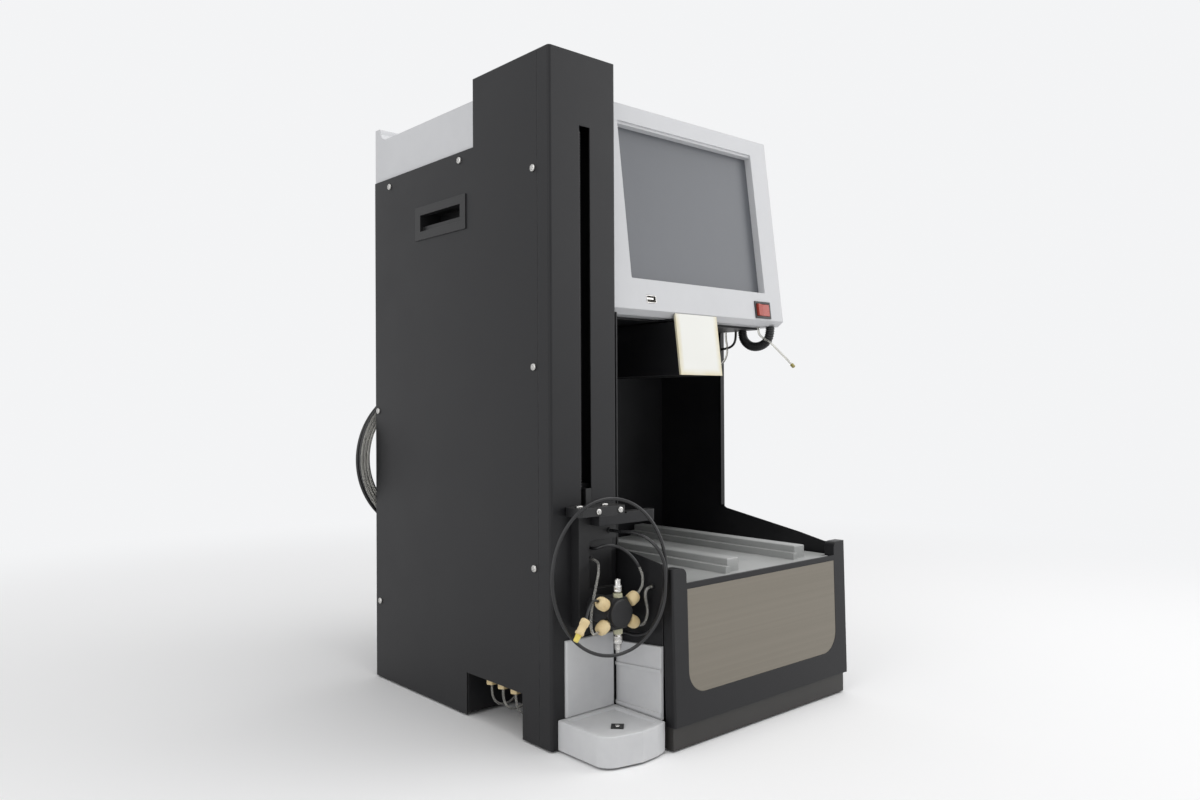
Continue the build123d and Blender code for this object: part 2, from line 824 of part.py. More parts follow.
def rear_panel():
    """Rear wall with the fan grille, the mains socket and the tube fittings."""
    panel = block(0, width, cabinet_depth - sheet, cabinet_depth, panel_gap, cabinet_height)
    depth = (cabinet_depth - sheet - 1, cabinet_depth + 1)
    cuts = []
    reach = fan_size / 2 - 4
    steps = int(reach // grille_pitch)
    for i in range(-steps, steps + 1):
        x = i * grille_pitch
        half = math.sqrt(reach * reach - x * x)
        cuts.append(block(fan_x + x - grille_slot / 2, fan_x + x + grille_slot / 2,
                          depth[0], depth[1], fan_z - half, fan_z + half))
    vent_left = width - 150
    for i in range(12):
        x = vent_left + i * 9
        cuts.append(block(x, x + 4, depth[0], depth[1], vent_low, vent_high))
    cuts.append(block(inlet_x - 14.2, inlet_x + 14.2, depth[0], depth[1],
                      inlet_z - 12.2, inlet_z + 12.2))
    for x in fitting_xs:
        cuts.append(rod_y(4.0, depth[0], depth[1], x, fitting_z))
    return panel - cuts


def bay_back_wall():
    """Folded sheet: back wall of the bay, its ceiling and the bulkhead above."""
    low = foot_height + pan_flange
    y0 = side_wall_step_y
    z = ceiling_z
    profile = [(bay_back, low), (bay_back, z), (y0, z), (y0, cabinet_height),
               (y0 + sheet, cabinet_height), (y0 + sheet, z + sheet),
               (bay_back + sheet, z + sheet), (bay_back + sheet, low)]
    wall = side_plate(profile, tower_width + sheet, width - sheet)
    shaft = rod_y(shaft_radius + 1.2, bay_back - 1, bay_back + 3, pulley_left, belt_z)
    return wall - shaft


def bay_floor():
    z = tray_surface - 5.6
    x0 = tower_width + sheet
    x1 = width - sheet
    top = block(x0, x1, -bay_front, bay_back, z - sheet, z)
    left = block(x0, x0 + sheet, -bay_front, bay_back, z - 14, z - sheet)
    right = block(x1 - sheet, x1, -bay_front, bay_back, z - 14, z - sheet)
    hole = rod_x(clear_radius + 1, x0 - 1, x0 + 3, -side_gland_y, side_gland_z)
    return top + left + right - hole


def fascia_place():
    return Pos(0, -fascia_front, fascia_bottom) * Rot(-fascia_lean, 0, 0)


def fascia():
    """Moulded front with two rounded posts, a low rail and a pocket for the steel plate."""
    rise = fascia_height * math.tan(math.radians(fascia_lean))
    depth = fascia_front - bay_front - rise
    x0 = tower_width
    x1 = width
    outline = Polyline((x0, 0), (x1, 0), (x1, fascia_height), (x1 - post_right, fascia_height),
                       (x1 - post_right, rail_top), (x0 + post_left, rail_top),
                       (x0 + post_left, fascia_height), (x0, fascia_height), close=True)
    face = make_face(outline)
    tops = face.vertices().sort_by(Axis.Y)[-4:].sort_by(Axis.X)
    face = fillet([tops[1], tops[2]], radius=post_radius)
    body = Pos(0, depth, 0) * extrude(Plane.XZ * face, amount=depth)
    inner = offset(face, amount=-fascia_wall, kind=Kind.INTERSECTION)
    hollow = Pos(0, depth + 1, 0) * extrude(Plane.XZ * inner, amount=depth - fascia_wall + 1)
    body = body - hollow - plate_shape(0.25, -1.0, plate_thickness)
    body = body + block(x0 + post_left, x1 - post_right, 0, rail_lip_depth,
                        rail_top - 1, rail_top + rail_lip)
    outer = body.edges().filter_by(Axis.Z).group_by(Axis.Y)[0].sort_by(Axis.X)
    body = fillet([outer[0], outer[-1]], radius=2.0)
    return fascia_place() * body


def plate_shape(gap, y0, y1):
    """Outline of the steel plate in the fascia's own place, grown by a gap."""
    x0 = tower_width + post_left + 1.0 - gap
    x1 = width - post_right - 0.5 + gap
    z0 = plate_bottom - gap
    z1 = plate_top + gap
    face = make_face(Polyline((x0, z0), (x1, z0), (x1, z1), (x0, z1), close=True))
    low = face.vertices().sort_by(Axis.Y)[:2]
    face = fillet(low, radius=plate_radius + gap)
    return Pos(0, y1, 0) * extrude(Plane.XZ * face, amount=y1 - y0)


def steel_plate():
    return fascia_place() * plate_shape(0, 0.2, plate_thickness)


def skirt():
    """Folded kick plate below the fascia with short returns."""
    x0 = tower_width + sheet
    x1 = width - skirt_inset
    back = -bay_front
    outer = block(x0, x1, -skirt_front, back, panel_gap, fascia_bottom - 0.3)
    inner = block(x0 + sheet, x1 - sheet, -skirt_front + sheet, back + 1, panel_gap - 1,
                  fascia_bottom)
    return outer - inner


def rack_tray():
    """Moulded tray with two long ribs, each with a lower step on its left side."""
    x0 = tower_width + sheet + tray_clearance
    x1 = width - sheet - tray_clearance - 5
    low = tray_surface - 5.6
    shell = block(x0, x1, -tray_front + 12, tray_back, low, tray_surface)
    under = block(x0 + tray_wall, x1 - tray_wall, -tray_front + 12 + tray_wall,
                  tray_back - tray_wall, low - 1, tray_surface - tray_wall)
    tray = shell - under
    for left, front in zip(rib_lefts, rib_fronts):
        top = tray_surface + rib_height
        rib = block(left, left + rib_width, -front + 8, tray_back, tray_surface, top)
        step = block(left - rib_step, left, -front + 4, tray_back, tray_surface,
                     tray_surface + rib_height / 2)
        rib = fillet(rib.edges().group_by(Axis.Z)[-1], radius=1.2)
        tray = tray + rib + step
    nose_left = x0 + 18
    nose_right = x1 - 20
    nose = block(nose_left, nose_right, -tray_front, -tray_front + 16,
                 tray_surface - 1.2, tray_surface)
    lip = block(nose_left, nose_right, -tray_front, -tray_front + 2.4, tray_surface, tray_edge)
    return tray + nose + lip


def display_housing():
    """Moulded housing that leans back, with the window, the socket and switch cut-outs."""
    top_y = face_line(cover_top)
    x0 = tower_width
    x1 = width
    back = side_wall_step_y
    outer = side_plate([(face_y, face_z), (top_y, cover_top), (back, cover_top),
                        (back, ceiling_z), (face_y + bevel_depth, ceiling_z)], x0, x1)
    w = housing_wall
    slope = w / lean_cos
    inner = side_plate([(face_y + slope + 0.4, face_z + 0.5), (top_y + slope, cover_top - w),
                        (back + 1, cover_top - w), (back + 1, ceiling_z + w),
                        (face_y + bevel_depth + 1, ceiling_z + w)], x0 + w, x1 - w)
    body = outer - inner
    mid_x = (screen_left + screen_right) / 2
    mid_s = (screen_low + screen_high) / 2
    wide = screen_right - screen_left
    high = screen_high - screen_low
    rim = on_face(mid_x, mid_s, wide + 14, high + 14, -screen_depth - 3, -w + 0.01, 4.0)
    body = body + rim
    step = on_face(mid_x, mid_s + screen_step / 2, wide, high + screen_step, -1.6, 2, 1.5)
    window = on_face(mid_x, mid_s, wide, high, -screen_depth - 5, 2, 1.5)
    usb = on_face(usb_x, usb_slope, usb_width + 0.4, usb_height + 0.4, -12, 2)
    rocker = on_face(rocker_x, rocker_slope, rocker_width + 4.4, rocker_height + 4.4, -8, 2)
    return body - step - window - usb - rocker


def screen_seat(start, end, grow):
    mid_x = (screen_left + screen_right) / 2
    mid_s = (screen_low + screen_high) / 2
    wide = screen_right - screen_left + 2 * grow
    high = screen_high - screen_low + 2 * grow
    return on_face(mid_x, mid_s, wide, high, start, end)


def touch_screen():
    back = -screen_depth - 3
    return screen_seat(back - screen_glass, back, 5.0)


def lcd_module():
    front = -screen_depth - 3 - screen_glass
    return screen_seat(front - lcd_thickness, front, 3.0)


def usb_port():
    """Metal shell with its tongue."""
    shell = on_face(usb_x, usb_slope, usb_width, usb_height, -11, 0.2)
    room = on_face(usb_x, usb_slope, usb_width - 1.4, usb_height - 1.4, -10, 1)
    tongue = on_face(usb_x, usb_slope + 1.0, usb_width - 4, 2.0, -10.5, -1.5)
    return shell - room + tongue


def switch_bezel():
    frame = on_face(rocker_x, rocker_slope, rocker_width + 4, rocker_height + 4, -14, 1.2)
    lip = on_face(rocker_x, rocker_slope, rocker_width + 6, rocker_height + 6, 0, 1.2)
    well = on_face(rocker_x, rocker_slope, rocker_width + 1.8, rocker_height + 0.8, -12, 2)
    pin_hole = face_plane.location * Pos(rocker_x, rocker_slope, -rocker_pin_depth)
    pin_hole = pin_hole * Rot(90, 0, 0)
    pin_hole = pin_hole * Cylinder(1.3, rocker_height + 3.0)
    return frame + lip - well - pin_hole


def power_rocker():
    """Rocker paddle on its pin, tilted to one side at rest."""
    half = rocker_width / 2
    paddle = make_face(Polyline((-half, 8.0), (-half, 2.5), (-3, -2.5), (3, -2.5),
                                (half, 2.5), (half, 8.0), (0, 6.4), close=True))
    body = extrude(paddle, amount=rocker_height / 2, both=True)
    pin = Cylinder(1.2, rocker_height + 2.4)
    turned = Rot(0, 0, -rocker_tilt) * (body + pin)
    place = face_plane.location * Pos(rocker_x, rocker_slope, -rocker_pin_depth)
    return place * Rot(90, 0, 0) * turned


def top_cover():
    """Moulded cover behind the display with a raised rear lip and a concave dip."""
    back = cabinet_depth + lip_overhang
    lip_front = back - lip_width
    low = cabinet_height
    start = side_wall_step_y
    r = dip_radius
    dip = [(lip_front - r + r * math.sin(a), cover_top + r * (1 - math.cos(a)))
           for a in [math.radians(d) for d in (0, 23, 45, 68, 90)]]
    outline = [(start, low), (start, cover_top)] + dip
    outline += [(lip_front + 1.5, lip_top), (back, lip_top), (back, low)]
    outer = side_plate(outline, 2.0, width)
    w = cover_wall
    inner = side_plate([(start + w, low - 1), (start + w, cover_top - w),
                        (lip_front, cover_top - w), (lip_front + w, lip_top - w),
                        (back - w, lip_top - w), (back - w, low - 1)], 2.0 + w, width - w)
    tower = block(0, tower_width, 0, tower_depth, low - 1, lip_top + 5)
    wall = block(2.0, tower_width + w, 0, tower_depth + w, low, cover_top - w)
    return outer - inner + (wall & outer) - tower


def gantry_plate():
    z = ceiling_z
    plate = block(gantry_plate_left, gantry_plate_right, gantry_plate_front, side_wall_step_y,
                  z - gantry_plate_thickness, z)
    for x, y, radius in ((side_plane, loom_back, loom_radius),
                         (side_plane, lead_start, lead_radius),
                         (side_plane - collect_inset, collect_start, clear_radius)):
        plate = plate - rod_z_axis(radius + 1.0, z - 10, z + 1, x, y)
    return plate


def gantry_rods():
    return solids(*[rod_x(rod_radius, tower_width + sheet, width - sheet, y, rod_z)
                    for y in rod_ys])


def rod_blocks():
    left = tower_width + sheet
    right = width - sheet
    pieces = []
    for y in rod_ys:
        bore = rod_x(rod_radius + rod_clearance, left - 1, right + 1, y, rod_z)
        for x0, x1 in ((left, left + 3.2), (right - 6, right)):
            pieces.append(block(x0, x1, y - 10, y + 10, rod_z - 10, rod_z + 9.5) - bore)
    return solids(*pieces)


def arm_front_plate():
    low = arm_bottom
    high = face_z - 0.8
    plate = side_plate([(face_line(low), low), (face_line(high), high),
                        (face_line(high - 2.4) + face_plate, high - 2.4),
                        (face_line(low) + face_plate, low)], arm_left, arm_left + arm_width)
    return plate


def arm_body():
    """Hollow arm with bosses on the gantry rods and a long slot below."""
    x0 = arm_left + arm_side
    x1 = arm_left + arm_width - arm_side
    low = arm_bottom
    w = arm_wall
    fp = face_plate
    outer = side_plate([(face_line(low) + fp, low), (face_line(arm_top) + fp, arm_top),
                        (arm_back, arm_top), (arm_back, low)], x0, x1)
    inner = side_plate([(face_line(low) + fp + w, low + w),
                        (face_line(arm_top) + fp + w, arm_top - w),
                        (arm_back - w, arm_top - w), (arm_back - w, low + w)], x0 + w, x1 - w)
    body = outer - inner
    body = body - block(x0 + 8, x1 - 8, 20, arm_back - 14, arm_top - w - 1, arm_top + 1)
    mid = (x0 + x1) / 2
    body = body - block(mid - 6, mid + 6, 14, arm_back - 10, low - 1, low + w + 1)
    for y in rod_ys:
        body = body + rod_x(boss_radius, x0, x1, y, rod_z)
    for y in rod_ys:
        body = body - rod_x(rod_radius + rod_clearance, x0 - 1, x1 + 1, y, rod_z)
    rail = rod_y(head_rail_radius + 0.02, 0, arm_back + 1, head_rail_x, head_rail_z)
    body = body - rail
    lower_run = belt_z - pulley_radius - 0.1
    web = block(mid - 6, mid + 6, arm_back, arm_back + 2.6,
                lower_run - belt_thickness - 3, lower_run + 3)
    upper_jaw = block(mid - 6, mid + 6, arm_back, belt_y + 3, lower_run + running_gap,
                      lower_run + 3)
    lower_jaw = block(mid - 6, mid + 6, arm_back, belt_y + 3,
                      lower_run - belt_thickness - 3, lower_run - belt_thickness - running_gap)
    return body + web + upper_jaw + lower_jaw


def head_rail():
    y0 = face_line(head_rail_z + head_rail_radius) + face_plate
    return rod_y(head_rail_radius, y0, arm_back, head_rail_x, head_rail_z)


def delivery_head():
    """Carriage on the rail inside the arm, with the dispensing nozzle below."""
    mid = arm_left + arm_width / 2
    y0 = head_y - 11
    y1 = head_y + 11
    body = block(head_rail_x - 7, mid + 14, y0, y1, arm_bottom + arm_wall + 0.5,
                 arm_bottom + 27.0)
    bore = rod_y(head_rail_radius + shaft_clearance, y0 - 1, y1 + 1, head_rail_x, head_rail_z)
    stem_low = arm_bottom - nozzle_drop
    stem = rod_z_axis(nozzle_radius, stem_low, arm_bottom + 10, mid, head_y)
    tip = Pos(mid, head_y, stem_low - 3) * Cone(1.4, nozzle_radius, 6)
    return body - bore + stem + tip


def belt():
    """Flat band around the two pulleys."""
    length = pulley_right - pulley_left
    mid = (pulley_left + pulley_right) / 2
    inner_r = pulley_radius + 0.1
    outer_r = inner_r + belt_thickness
    outer = SlotCenterToCenter(length, 2 * outer_r)
    inner = SlotCenterToCenter(length, 2 * inner_r)
    band = Pos(mid, belt_z) * (outer - inner)
    return Pos(0, belt_y + pulley_width / 2 - 0.2, 0) * extrude(
        Plane.XZ * band, amount=pulley_width - 0.4)


def pulley(x, shaft_back):
    half = pulley_width / 2
    hub = rod_y(pulley_radius, belt_y - half, belt_y + half, x, belt_z)
    for y0, y1 in ((belt_y - half - pulley_flange, belt_y - half),
                   (belt_y + half, belt_y + half + pulley_flange)):
        hub = hub + rod_y(pulley_radius + 2, y0, y1, x, belt_z)
    if shaft_back:
        return hub + rod_y(shaft_radius, belt_y + half, shaft_back, x, belt_z)
    return hub - rod_y(shaft_radius + shaft_clearance, belt_y - 10, belt_y + 10, x, belt_z)


def drive_pulley():
    return pulley(pulley_left, bay_back + sheet + 9.5)


def idler_pulley():
    return pulley(pulley_right, 0)


def idler_pin():
    y0 = belt_y - pulley_width / 2 - pulley_flange - 1.6
    pin = rod_y(shaft_radius, y0, bay_back, pulley_right, belt_z)
    head = rod_y(shaft_radius + 1.6, y0, y0 + 1.2, pulley_right, belt_z)
    collar = rod_y(shaft_radius + 2.5, belt_y + pulley_width / 2 + pulley_flange + running_gap,
                   bay_back, pulley_right, belt_z)
    return pin + head + collar


def arm_motor():
    side = motor_size / 2
    y0 = bay_back + sheet
    body = block(pulley_left - side, pulley_left + side, y0, y0 + motor_length,
                 belt_z - side, belt_z + side)
    bore = rod_y(shaft_radius + shaft_clearance, y0 - 1, y0 + 10, pulley_left, belt_z)
    return fillet(body.edges().filter_by(Axis.Y), radius=4.0) - bore


def panel_screws():
    """Pan-head screws of the side panels and the fascia posts."""
    top = cabinet_height - screw_top
    rear = cabinet_depth - screw_rear
    shared = [(cabinet_depth - 36.4, top), (tower_depth + 25.8, top + 1.3),
              (rear, screw_level), (rear - 3.5, screw_low)]
    left = shared + [(screw_front, cabinet_height - 41.8), (screw_front - 0.1, screw_level + 42.9),
                     (screw_front + 0.1, screw_low + 77.8)]
    right = shared + [(side_wall_step_y + 8.0, screw_level)]
    pieces = [rod_x(screw_radius, -screw_height, 0, y, z) for y, z in left]
    pieces += [rod_x(screw_radius, width, width + screw_height, y, z) for y, z in right]
    return solids(*pieces)


def loom_loop():
    """Ribbed cable sleeve that hangs in a bow below the housing."""
    z = ceiling_z
    x = side_plane
    points = [(x, loom_front, z), (x, loom_front, z - 8.8), (x, loom_front + 5.5, z - 18.8),
              (x, loom_front + 16.5, z - 23.3), (x, loom_back - 14.0, z - 22.7),
              (x, loom_back - 4.5, z - 16.8), (x, loom_back, z - 8.8), (x, loom_back, z)]
    return tube("loom_loop", points, loom_radius)


def loom_lead():
    x = side_plane
    z = ceiling_z
    y = lead_start
    points = [(x, y, z), (x, y, z - 10.3), (x, y + 3.0, z - 18.3), (x, y + 10.5, z - 22.3),
              (x, y + 20.5, z - 23.5), (x, y + 37.5, z - 24.3), (x, y + 69.5, z - 25.1),
              (x, bay_back - 37.0, z - 24.7), (x, bay_back, z - 24.7)]
    return tube("loom_lead", points, lead_radius)


def waste_tube():
    x = side_plane
    z = ceiling_z
    y = waste_start
    points = [(x - 9, y, z), (x - 9, y, z - 7.3), (x - 8, y - 4.5, z - 12.8),
              (x - 6, y - 13.6, z - 17.4), (x - 3, y - 28.0, z - 31.9),
              (x - 0.5, y - 37.0, z - 41.0), (x, y - 42.5, z - 46.6)]
    return tube("waste_tube", points, clear_radius)


def waste_tip():
    start = Vector(side_plane, waste_start - 42.5, ceiling_z - 46.6)
    before = Vector(side_plane - 0.5, waste_start - 37.0, ceiling_z - 41.0)
    axis = (start - before).normalized()
    plane = Plane(origin=start, z_dir=axis)
    return plane.location * Pos(0, 0, 2.2) * Cone(2.3, 1.9, 4.4)


def collect_tube():
    x = side_plane - collect_inset
    z = ceiling_z
    y = collect_start
    points = [(x, y, z), (x, y, z - 10.3), (x, y - 2.4, z - 20.8), (x, y - 2.2, z - 30.8),
              (x, y + 2.0, z - 38.8), (x, y + 8.3, z - 43.6)]
    return tube("collect_tube", points, clear_radius)


def rear_fittings():
    """Threaded tube fittings through the rear panel."""
    pieces = []
    y = cabinet_depth
    for x in fitting_xs:
        body = rod_y(6.0, y, y + 4.0, x, fitting_z)
        body = body + rod_y(3.8, y - 6.0, y, x, fitting_z)
        body = body + rod_y(4.6, y + 4.0, y + fitting_length, x, fitting_z)
        pieces.append(body)
    return solids(*pieces)


def power_inlet():
    """Mains socket with its shroud and three blades."""
    y = cabinet_depth
    body = block(inlet_x - 14, inlet_x + 14, y - 24, y, inlet_z - 12, inlet_z + 12)
    flange = block(inlet_x - 25, inlet_x + 25, y, y + 2.0, inlet_z - 14, inlet_z + 14)
    room = block(inlet_x - 12, inlet_x + 12, y - 17, y + 3, inlet_z - 8, inlet_z + 8)
    socket = body + flange - room
    for x in (-7, 0, 7):
        socket = socket + block(inlet_x + x - 1, inlet_x + x + 1, y - 18, y - 3,
                                inlet_z - 2 + (3 if x == 0 else 0),
                                inlet_z + 2 + (3 if x == 0 else 0))
    return socket


def coil_hook():
    """Two folded hooks on the rear panel that carry the coil."""
    y = cabinet_depth
    pieces = []
    for x in (coil_x - 26, coil_x + 26):
        drop = math.sqrt(coil_inner ** 2 - 26 ** 2)
        z = coil_z + drop - 2.6
        arm = block(x - 5, x + 5, y, y + coil_depth + 6, z - 2, z)
        up = block(x - 5, x + 5, y + coil_depth + 4, y + coil_depth + 6, z, z + 10)
        foot = block(x - 5, x + 5, y, y + 1.5, z - 20, z)
        pieces.append(arm + up + foot)
    return solids(*pieces)


def coil_ring():
    """Outer form of the coiled lines, flat against the rear panel."""
    ring = Pos(coil_x, coil_z) * (Circle(coil_size) - Circle(coil_inner))
    back = cabinet_depth + running_gap + coil_depth
    return Pos(0, back, 0) * extrude(Plane.XZ * ring, amount=coil_depth)


def coil_lead():
    """Line from the first rear fitting up to the coil."""
    x = fitting_xs[0]
    y = cabinet_depth + fitting_length
    back = cabinet_depth + running_gap + coil_depth
    points = [(x, y, fitting_z), (x, y + 16, fitting_z), (x - 3, y + 30, fitting_z + 9),
              (x - 9, y + 35, fitting_z + 26), (x - 15, y + 27, fitting_z + 42),
              (x - 17, back + 6, fitting_z + 50), (x - 17, back, fitting_z + 50)]
    return tube("coil_lead", points, coil_tube)


def fan_frame():
    half = fan_size / 2
    y1 = cabinet_depth - sheet
    y0 = y1 - fan_depth
    frame = rounded_front(fan_x - half, fan_x + half, fan_z - half, fan_z + half, 4.0, y0, y1)
    frame = frame - rod_y(half - 2.5, y0 + 3, y1 + 1, fan_x, fan_z)
    frame = frame - (rod_y(half - 2.5, y0 - 1, y0 + 3, fan_x, fan_z)
                     - rod_y(16, y0 - 1, y0 + 3, fan_x, fan_z)
                     - block(fan_x - half, fan_x + half, y0, y0 + 3, fan_z - 3, fan_z + 3)
                     - block(fan_x - 3, fan_x + 3, y0, y0 + 3, fan_z - half, fan_z + half))
    pin = rod_y(2.0, y0 + 2, y1 - 6, fan_x, fan_z)
    return frame + pin


def fan_rotor():
    """Hub with swept blades."""
    y1 = cabinet_depth - sheet - 3
    y0 = y1 - fan_depth + 8
    hub = rod_y(15.0, y0, y1, fan_x, fan_z)
    reach = fan_size / 2 - 4.5
    rotor = hub
    for i in range(blade_count):
        blade = Pos(0, 0, (13 + reach) / 2) * Rot(0, 0, 35) * Box(20.0, 1.6, reach - 13)
        blade = blade & Cylinder(40, 120).locate(Location((0, 0, 0), (90, 0, 0)))
        blade = Rot(0, i * 360 / blade_count, 0) * blade
        rotor = rotor + Pos(fan_x, (y0 + y1) / 2, fan_z) * blade
    keep = rod_y(reach, y0, y1, fan_x, fan_z)
    bore = rod_y(2.0 + shaft_clearance, y0 - 1, y1 + 1 - 2, fan_x, fan_z)
    return (rotor & keep) - bore


def pump_module():
    """Pump block on the base pan with two piston heads."""
    z = foot_height + sheet
    back = cabinet_depth - module_gap
    body = block(120, 220, bay_back + 9, back, z, z + 110)
    heads = [rod_y(14.0, back, back + 14, x, z + 60) for x in (145, 195)]
    return body + heads[0] + heads[1]


def detector_module():
    z = foot_height + sheet
    body = block(12, 82, niche_back + 26.5, cabinet_depth - board_gap, z, z + 105)
    return fillet(body.edges().filter_by(Axis.Z), radius=3)


def power_supply():
    z = foot_height + sheet
    return block(240, 356, bay_back + 9, cabinet_depth - module_gap, z, z + 42)


def control_board():
    front = niche_back + 26.5
    back = cabinet_depth - board_gap
    low = cabinet_height - 297
    high = low + 170
    board = block(8.5, 10.1, front, back, low, high)
    posts = [rod_x(3.0, sheet, 8.5, y, z) for y in (front + 8, back - 8)
             for z in (low + 8, high - 8)]
    chips = [block(10.1, 14, front + 30, front + 60, low + 60, low + 90),
             block(10.1, 13, back - 70, back - 20, low + 30, low + 50),
             block(10.1, 22, back - 70, back - 20, high - 30, high - 8)]
    for piece in posts + chips:
        board = board + piece
    return board


def shift():
    """Moves the middle of the footprint to the origin."""
    back = cabinet_depth + coil_depth + 6
    front = fascia_front
    return Pos(-middle_x, -(back - front) / 2, 0)


def build():
    return {
        "base_pan": base_pan(),
        "rubber_feet": rubber_feet(),
        "inlet_niche": niche(),
        "tube_fittings": solids(niche_fittings(), rear_fittings()),
        "niche_tubes": solids(*[niche_tube(i) for i in range(3)]),
        "left_side_panel": left_side_panel(),
        "handle_cups": solids(handle_cup(), right_handle_cup()),
        "tower_cover": solids(tower_front_cover(), tower_cap()),
        "slot_guide": solids(guide_channel(), guide_rod()),
        "rack_strip": rack_strip(),
        "column_carriage": column_carriage(),
        "column_arm": column_arm(),
        "carriage_screws": carriage_screws(),
        "valve_panel": valve_panel(),
        "valve_body": solids(valve_body(), valve_cap()),
        "valve_rotor": valve_rotor(),
        "drive_motors": solids(valve_motor(), arm_motor()),
        "finger_nuts": finger_nuts(),
        "steel_fittings": steel_fittings(),
        "luer_port": luer_fitting(),
        "tube_glands": tube_glands(),
        "sample_loop": sample_loop(),
        "valve_tube_upper": tube_a(),
        "valve_tube_lower": tube_b(),
        "valve_tube_side": tube_c(),
        "drip_tray": drip_tray(),
        "drain_insert": drain_insert(),
        "splash_guards": solids(splash_guard_left(), splash_guard_right()),
        "bay_walls": solids(bay_left_wall(), bay_back_wall(), bay_floor()),
        "right_side_panel": right_side_panel(),
        "rear_panel": solids(rear_panel(), coil_hook()),
        "fascia": fascia(),
        "steel_plate": steel_plate(),
        "skirt": skirt(),
        "rack_tray": rack_tray(),
        "display_housing": display_housing(),
        "touch_screen": touch_screen(),
        "usb_port": usb_port(),
        "switch_bezel": switch_bezel(),
        "power_rocker": power_rocker(),
        "top_cover": top_cover(),
        "gantry_plate": gantry_plate(),
        "gantry_rods": solids(gantry_rods(), rod_blocks(), idler_pin()),
        "arm_front_plate": arm_front_plate(),
        "arm_body": solids(arm_body(), head_rail()),
        "delivery_head": delivery_head(),
        "drive_belt": belt(),
        "drive_pulley": drive_pulley(),
        "idler_pulley": idler_pulley(),
        "panel_screws": panel_screws(),
        "loom_loop": loom_loop(),
        "loom_lead": loom_lead(),
        "waste_tube": solids(waste_tube(), waste_tip()),
        "collect_tube": collect_tube(),
        "power_inlet": power_inlet(),
        "coil_ring": coil_ring(),
        "coil_lead": coil_lead(),
        "fan_frame": fan_frame(),
        "fan_rotor": fan_rotor(),
        "inner_modules": solids(pump_module(), detector_module(), power_supply(),
                                control_board(), lcd_module()),
    }


if __name__ == "__main__":
    os.makedirs("parts", exist_ok=True)
    place = shift()
    for name, piece in build().items():
        export_step(place * piece, os.path.join("parts", name + ".step"))
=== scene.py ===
import bmesh
import bpy
import math
from mathutils import Matrix, Vector


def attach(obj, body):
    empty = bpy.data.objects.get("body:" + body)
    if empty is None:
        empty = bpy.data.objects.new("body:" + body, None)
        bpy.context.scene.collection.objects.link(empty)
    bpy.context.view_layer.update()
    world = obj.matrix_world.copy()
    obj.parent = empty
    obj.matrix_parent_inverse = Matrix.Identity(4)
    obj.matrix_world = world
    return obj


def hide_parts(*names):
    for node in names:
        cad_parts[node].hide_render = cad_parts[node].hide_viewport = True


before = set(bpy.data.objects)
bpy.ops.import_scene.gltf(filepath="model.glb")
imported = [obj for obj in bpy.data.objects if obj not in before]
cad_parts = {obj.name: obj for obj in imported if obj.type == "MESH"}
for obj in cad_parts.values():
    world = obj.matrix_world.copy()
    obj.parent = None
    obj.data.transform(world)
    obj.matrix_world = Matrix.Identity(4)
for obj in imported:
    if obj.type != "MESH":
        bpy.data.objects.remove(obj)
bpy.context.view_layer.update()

# The part is drawn in millimetres from the tower's lower front left corner.
MIDDLE_X = 176.75
MIDDLE_Y = 144.25
WIDTH = 365.5


def at(x, y, z):
    """Point given in the drawing's millimetres, in metres of the frame."""
    return Vector(((x - MIDDLE_X) / 1000, (y - MIDDLE_Y) / 1000, z / 1000))


# Camera, stage and light

ROOM_COLOUR = (0.90, 0.905, 0.915, 1)


def set_camera():
    yaw = math.radians(41.48)
    pitch = math.radians(0.28)
    roll = math.radians(-0.29)
    forward = Vector((math.sin(yaw) * math.cos(pitch), math.cos(yaw) * math.cos(pitch),
                      math.sin(pitch)))
    level = Vector((math.cos(yaw), -math.sin(yaw), 0))
    over = level.cross(forward)
    right = math.cos(roll) * level + math.sin(roll) * over
    up = -math.sin(roll) * level + math.cos(roll) * over
    data = bpy.data.cameras.new("camera")
    data.sensor_width = 36
    data.lens = 27.81
    data.clip_start = 0.01
    camera = bpy.data.objects.new("camera", data)
    turn = Matrix((right, up, -forward)).transposed().to_4x4()
    camera.matrix_world = Matrix.Translation(at(-541.9, -683.8, 327.6)) @ turn
    bpy.context.collection.objects.link(camera)
    bpy.context.scene.camera = camera


def set_world():
    world = bpy.data.worlds.new("pale_room")
    bpy.context.scene.world = world
    world.use_nodes = True
    nodes = world.node_tree.nodes
    links = world.node_tree.links
    nodes.clear()
    out = nodes.new("ShaderNodeOutputWorld")
    mix = nodes.new("ShaderNodeMixShader")
    room = nodes.new("ShaderNodeBackground")
    room.inputs["Color"].default_value = (1.0, 1.0, 1.0, 1)
    room.inputs["Strength"].default_value = 0.55
    seen = nodes.new("ShaderNodeBackground")
    seen.inputs["Color"].default_value = ROOM_COLOUR
    seen.inputs["Strength"].default_value = 1.0
    path = nodes.new("ShaderNodeLightPath")
    first = nodes.new("ShaderNodeMath")
    first.operation = "MAXIMUM"
    second = nodes.new("ShaderNodeMath")
    second.operation = "MAXIMUM"
    links.new(path.outputs["Is Camera Ray"], first.inputs[0])
    links.new(path.outputs["Is Glossy Ray"], first.inputs[1])
    links.new(first.outputs[0], second.inputs[0])
    links.new(path.outputs["Is Transmission Ray"], second.inputs[1])
    links.new(second.outputs[0], mix.inputs["Fac"])
    links.new(room.outputs[0], mix.inputs[1])
    links.new(seen.outputs[0], mix.inputs[2])
    links.new(mix.outputs[0], out.inputs["Surface"])


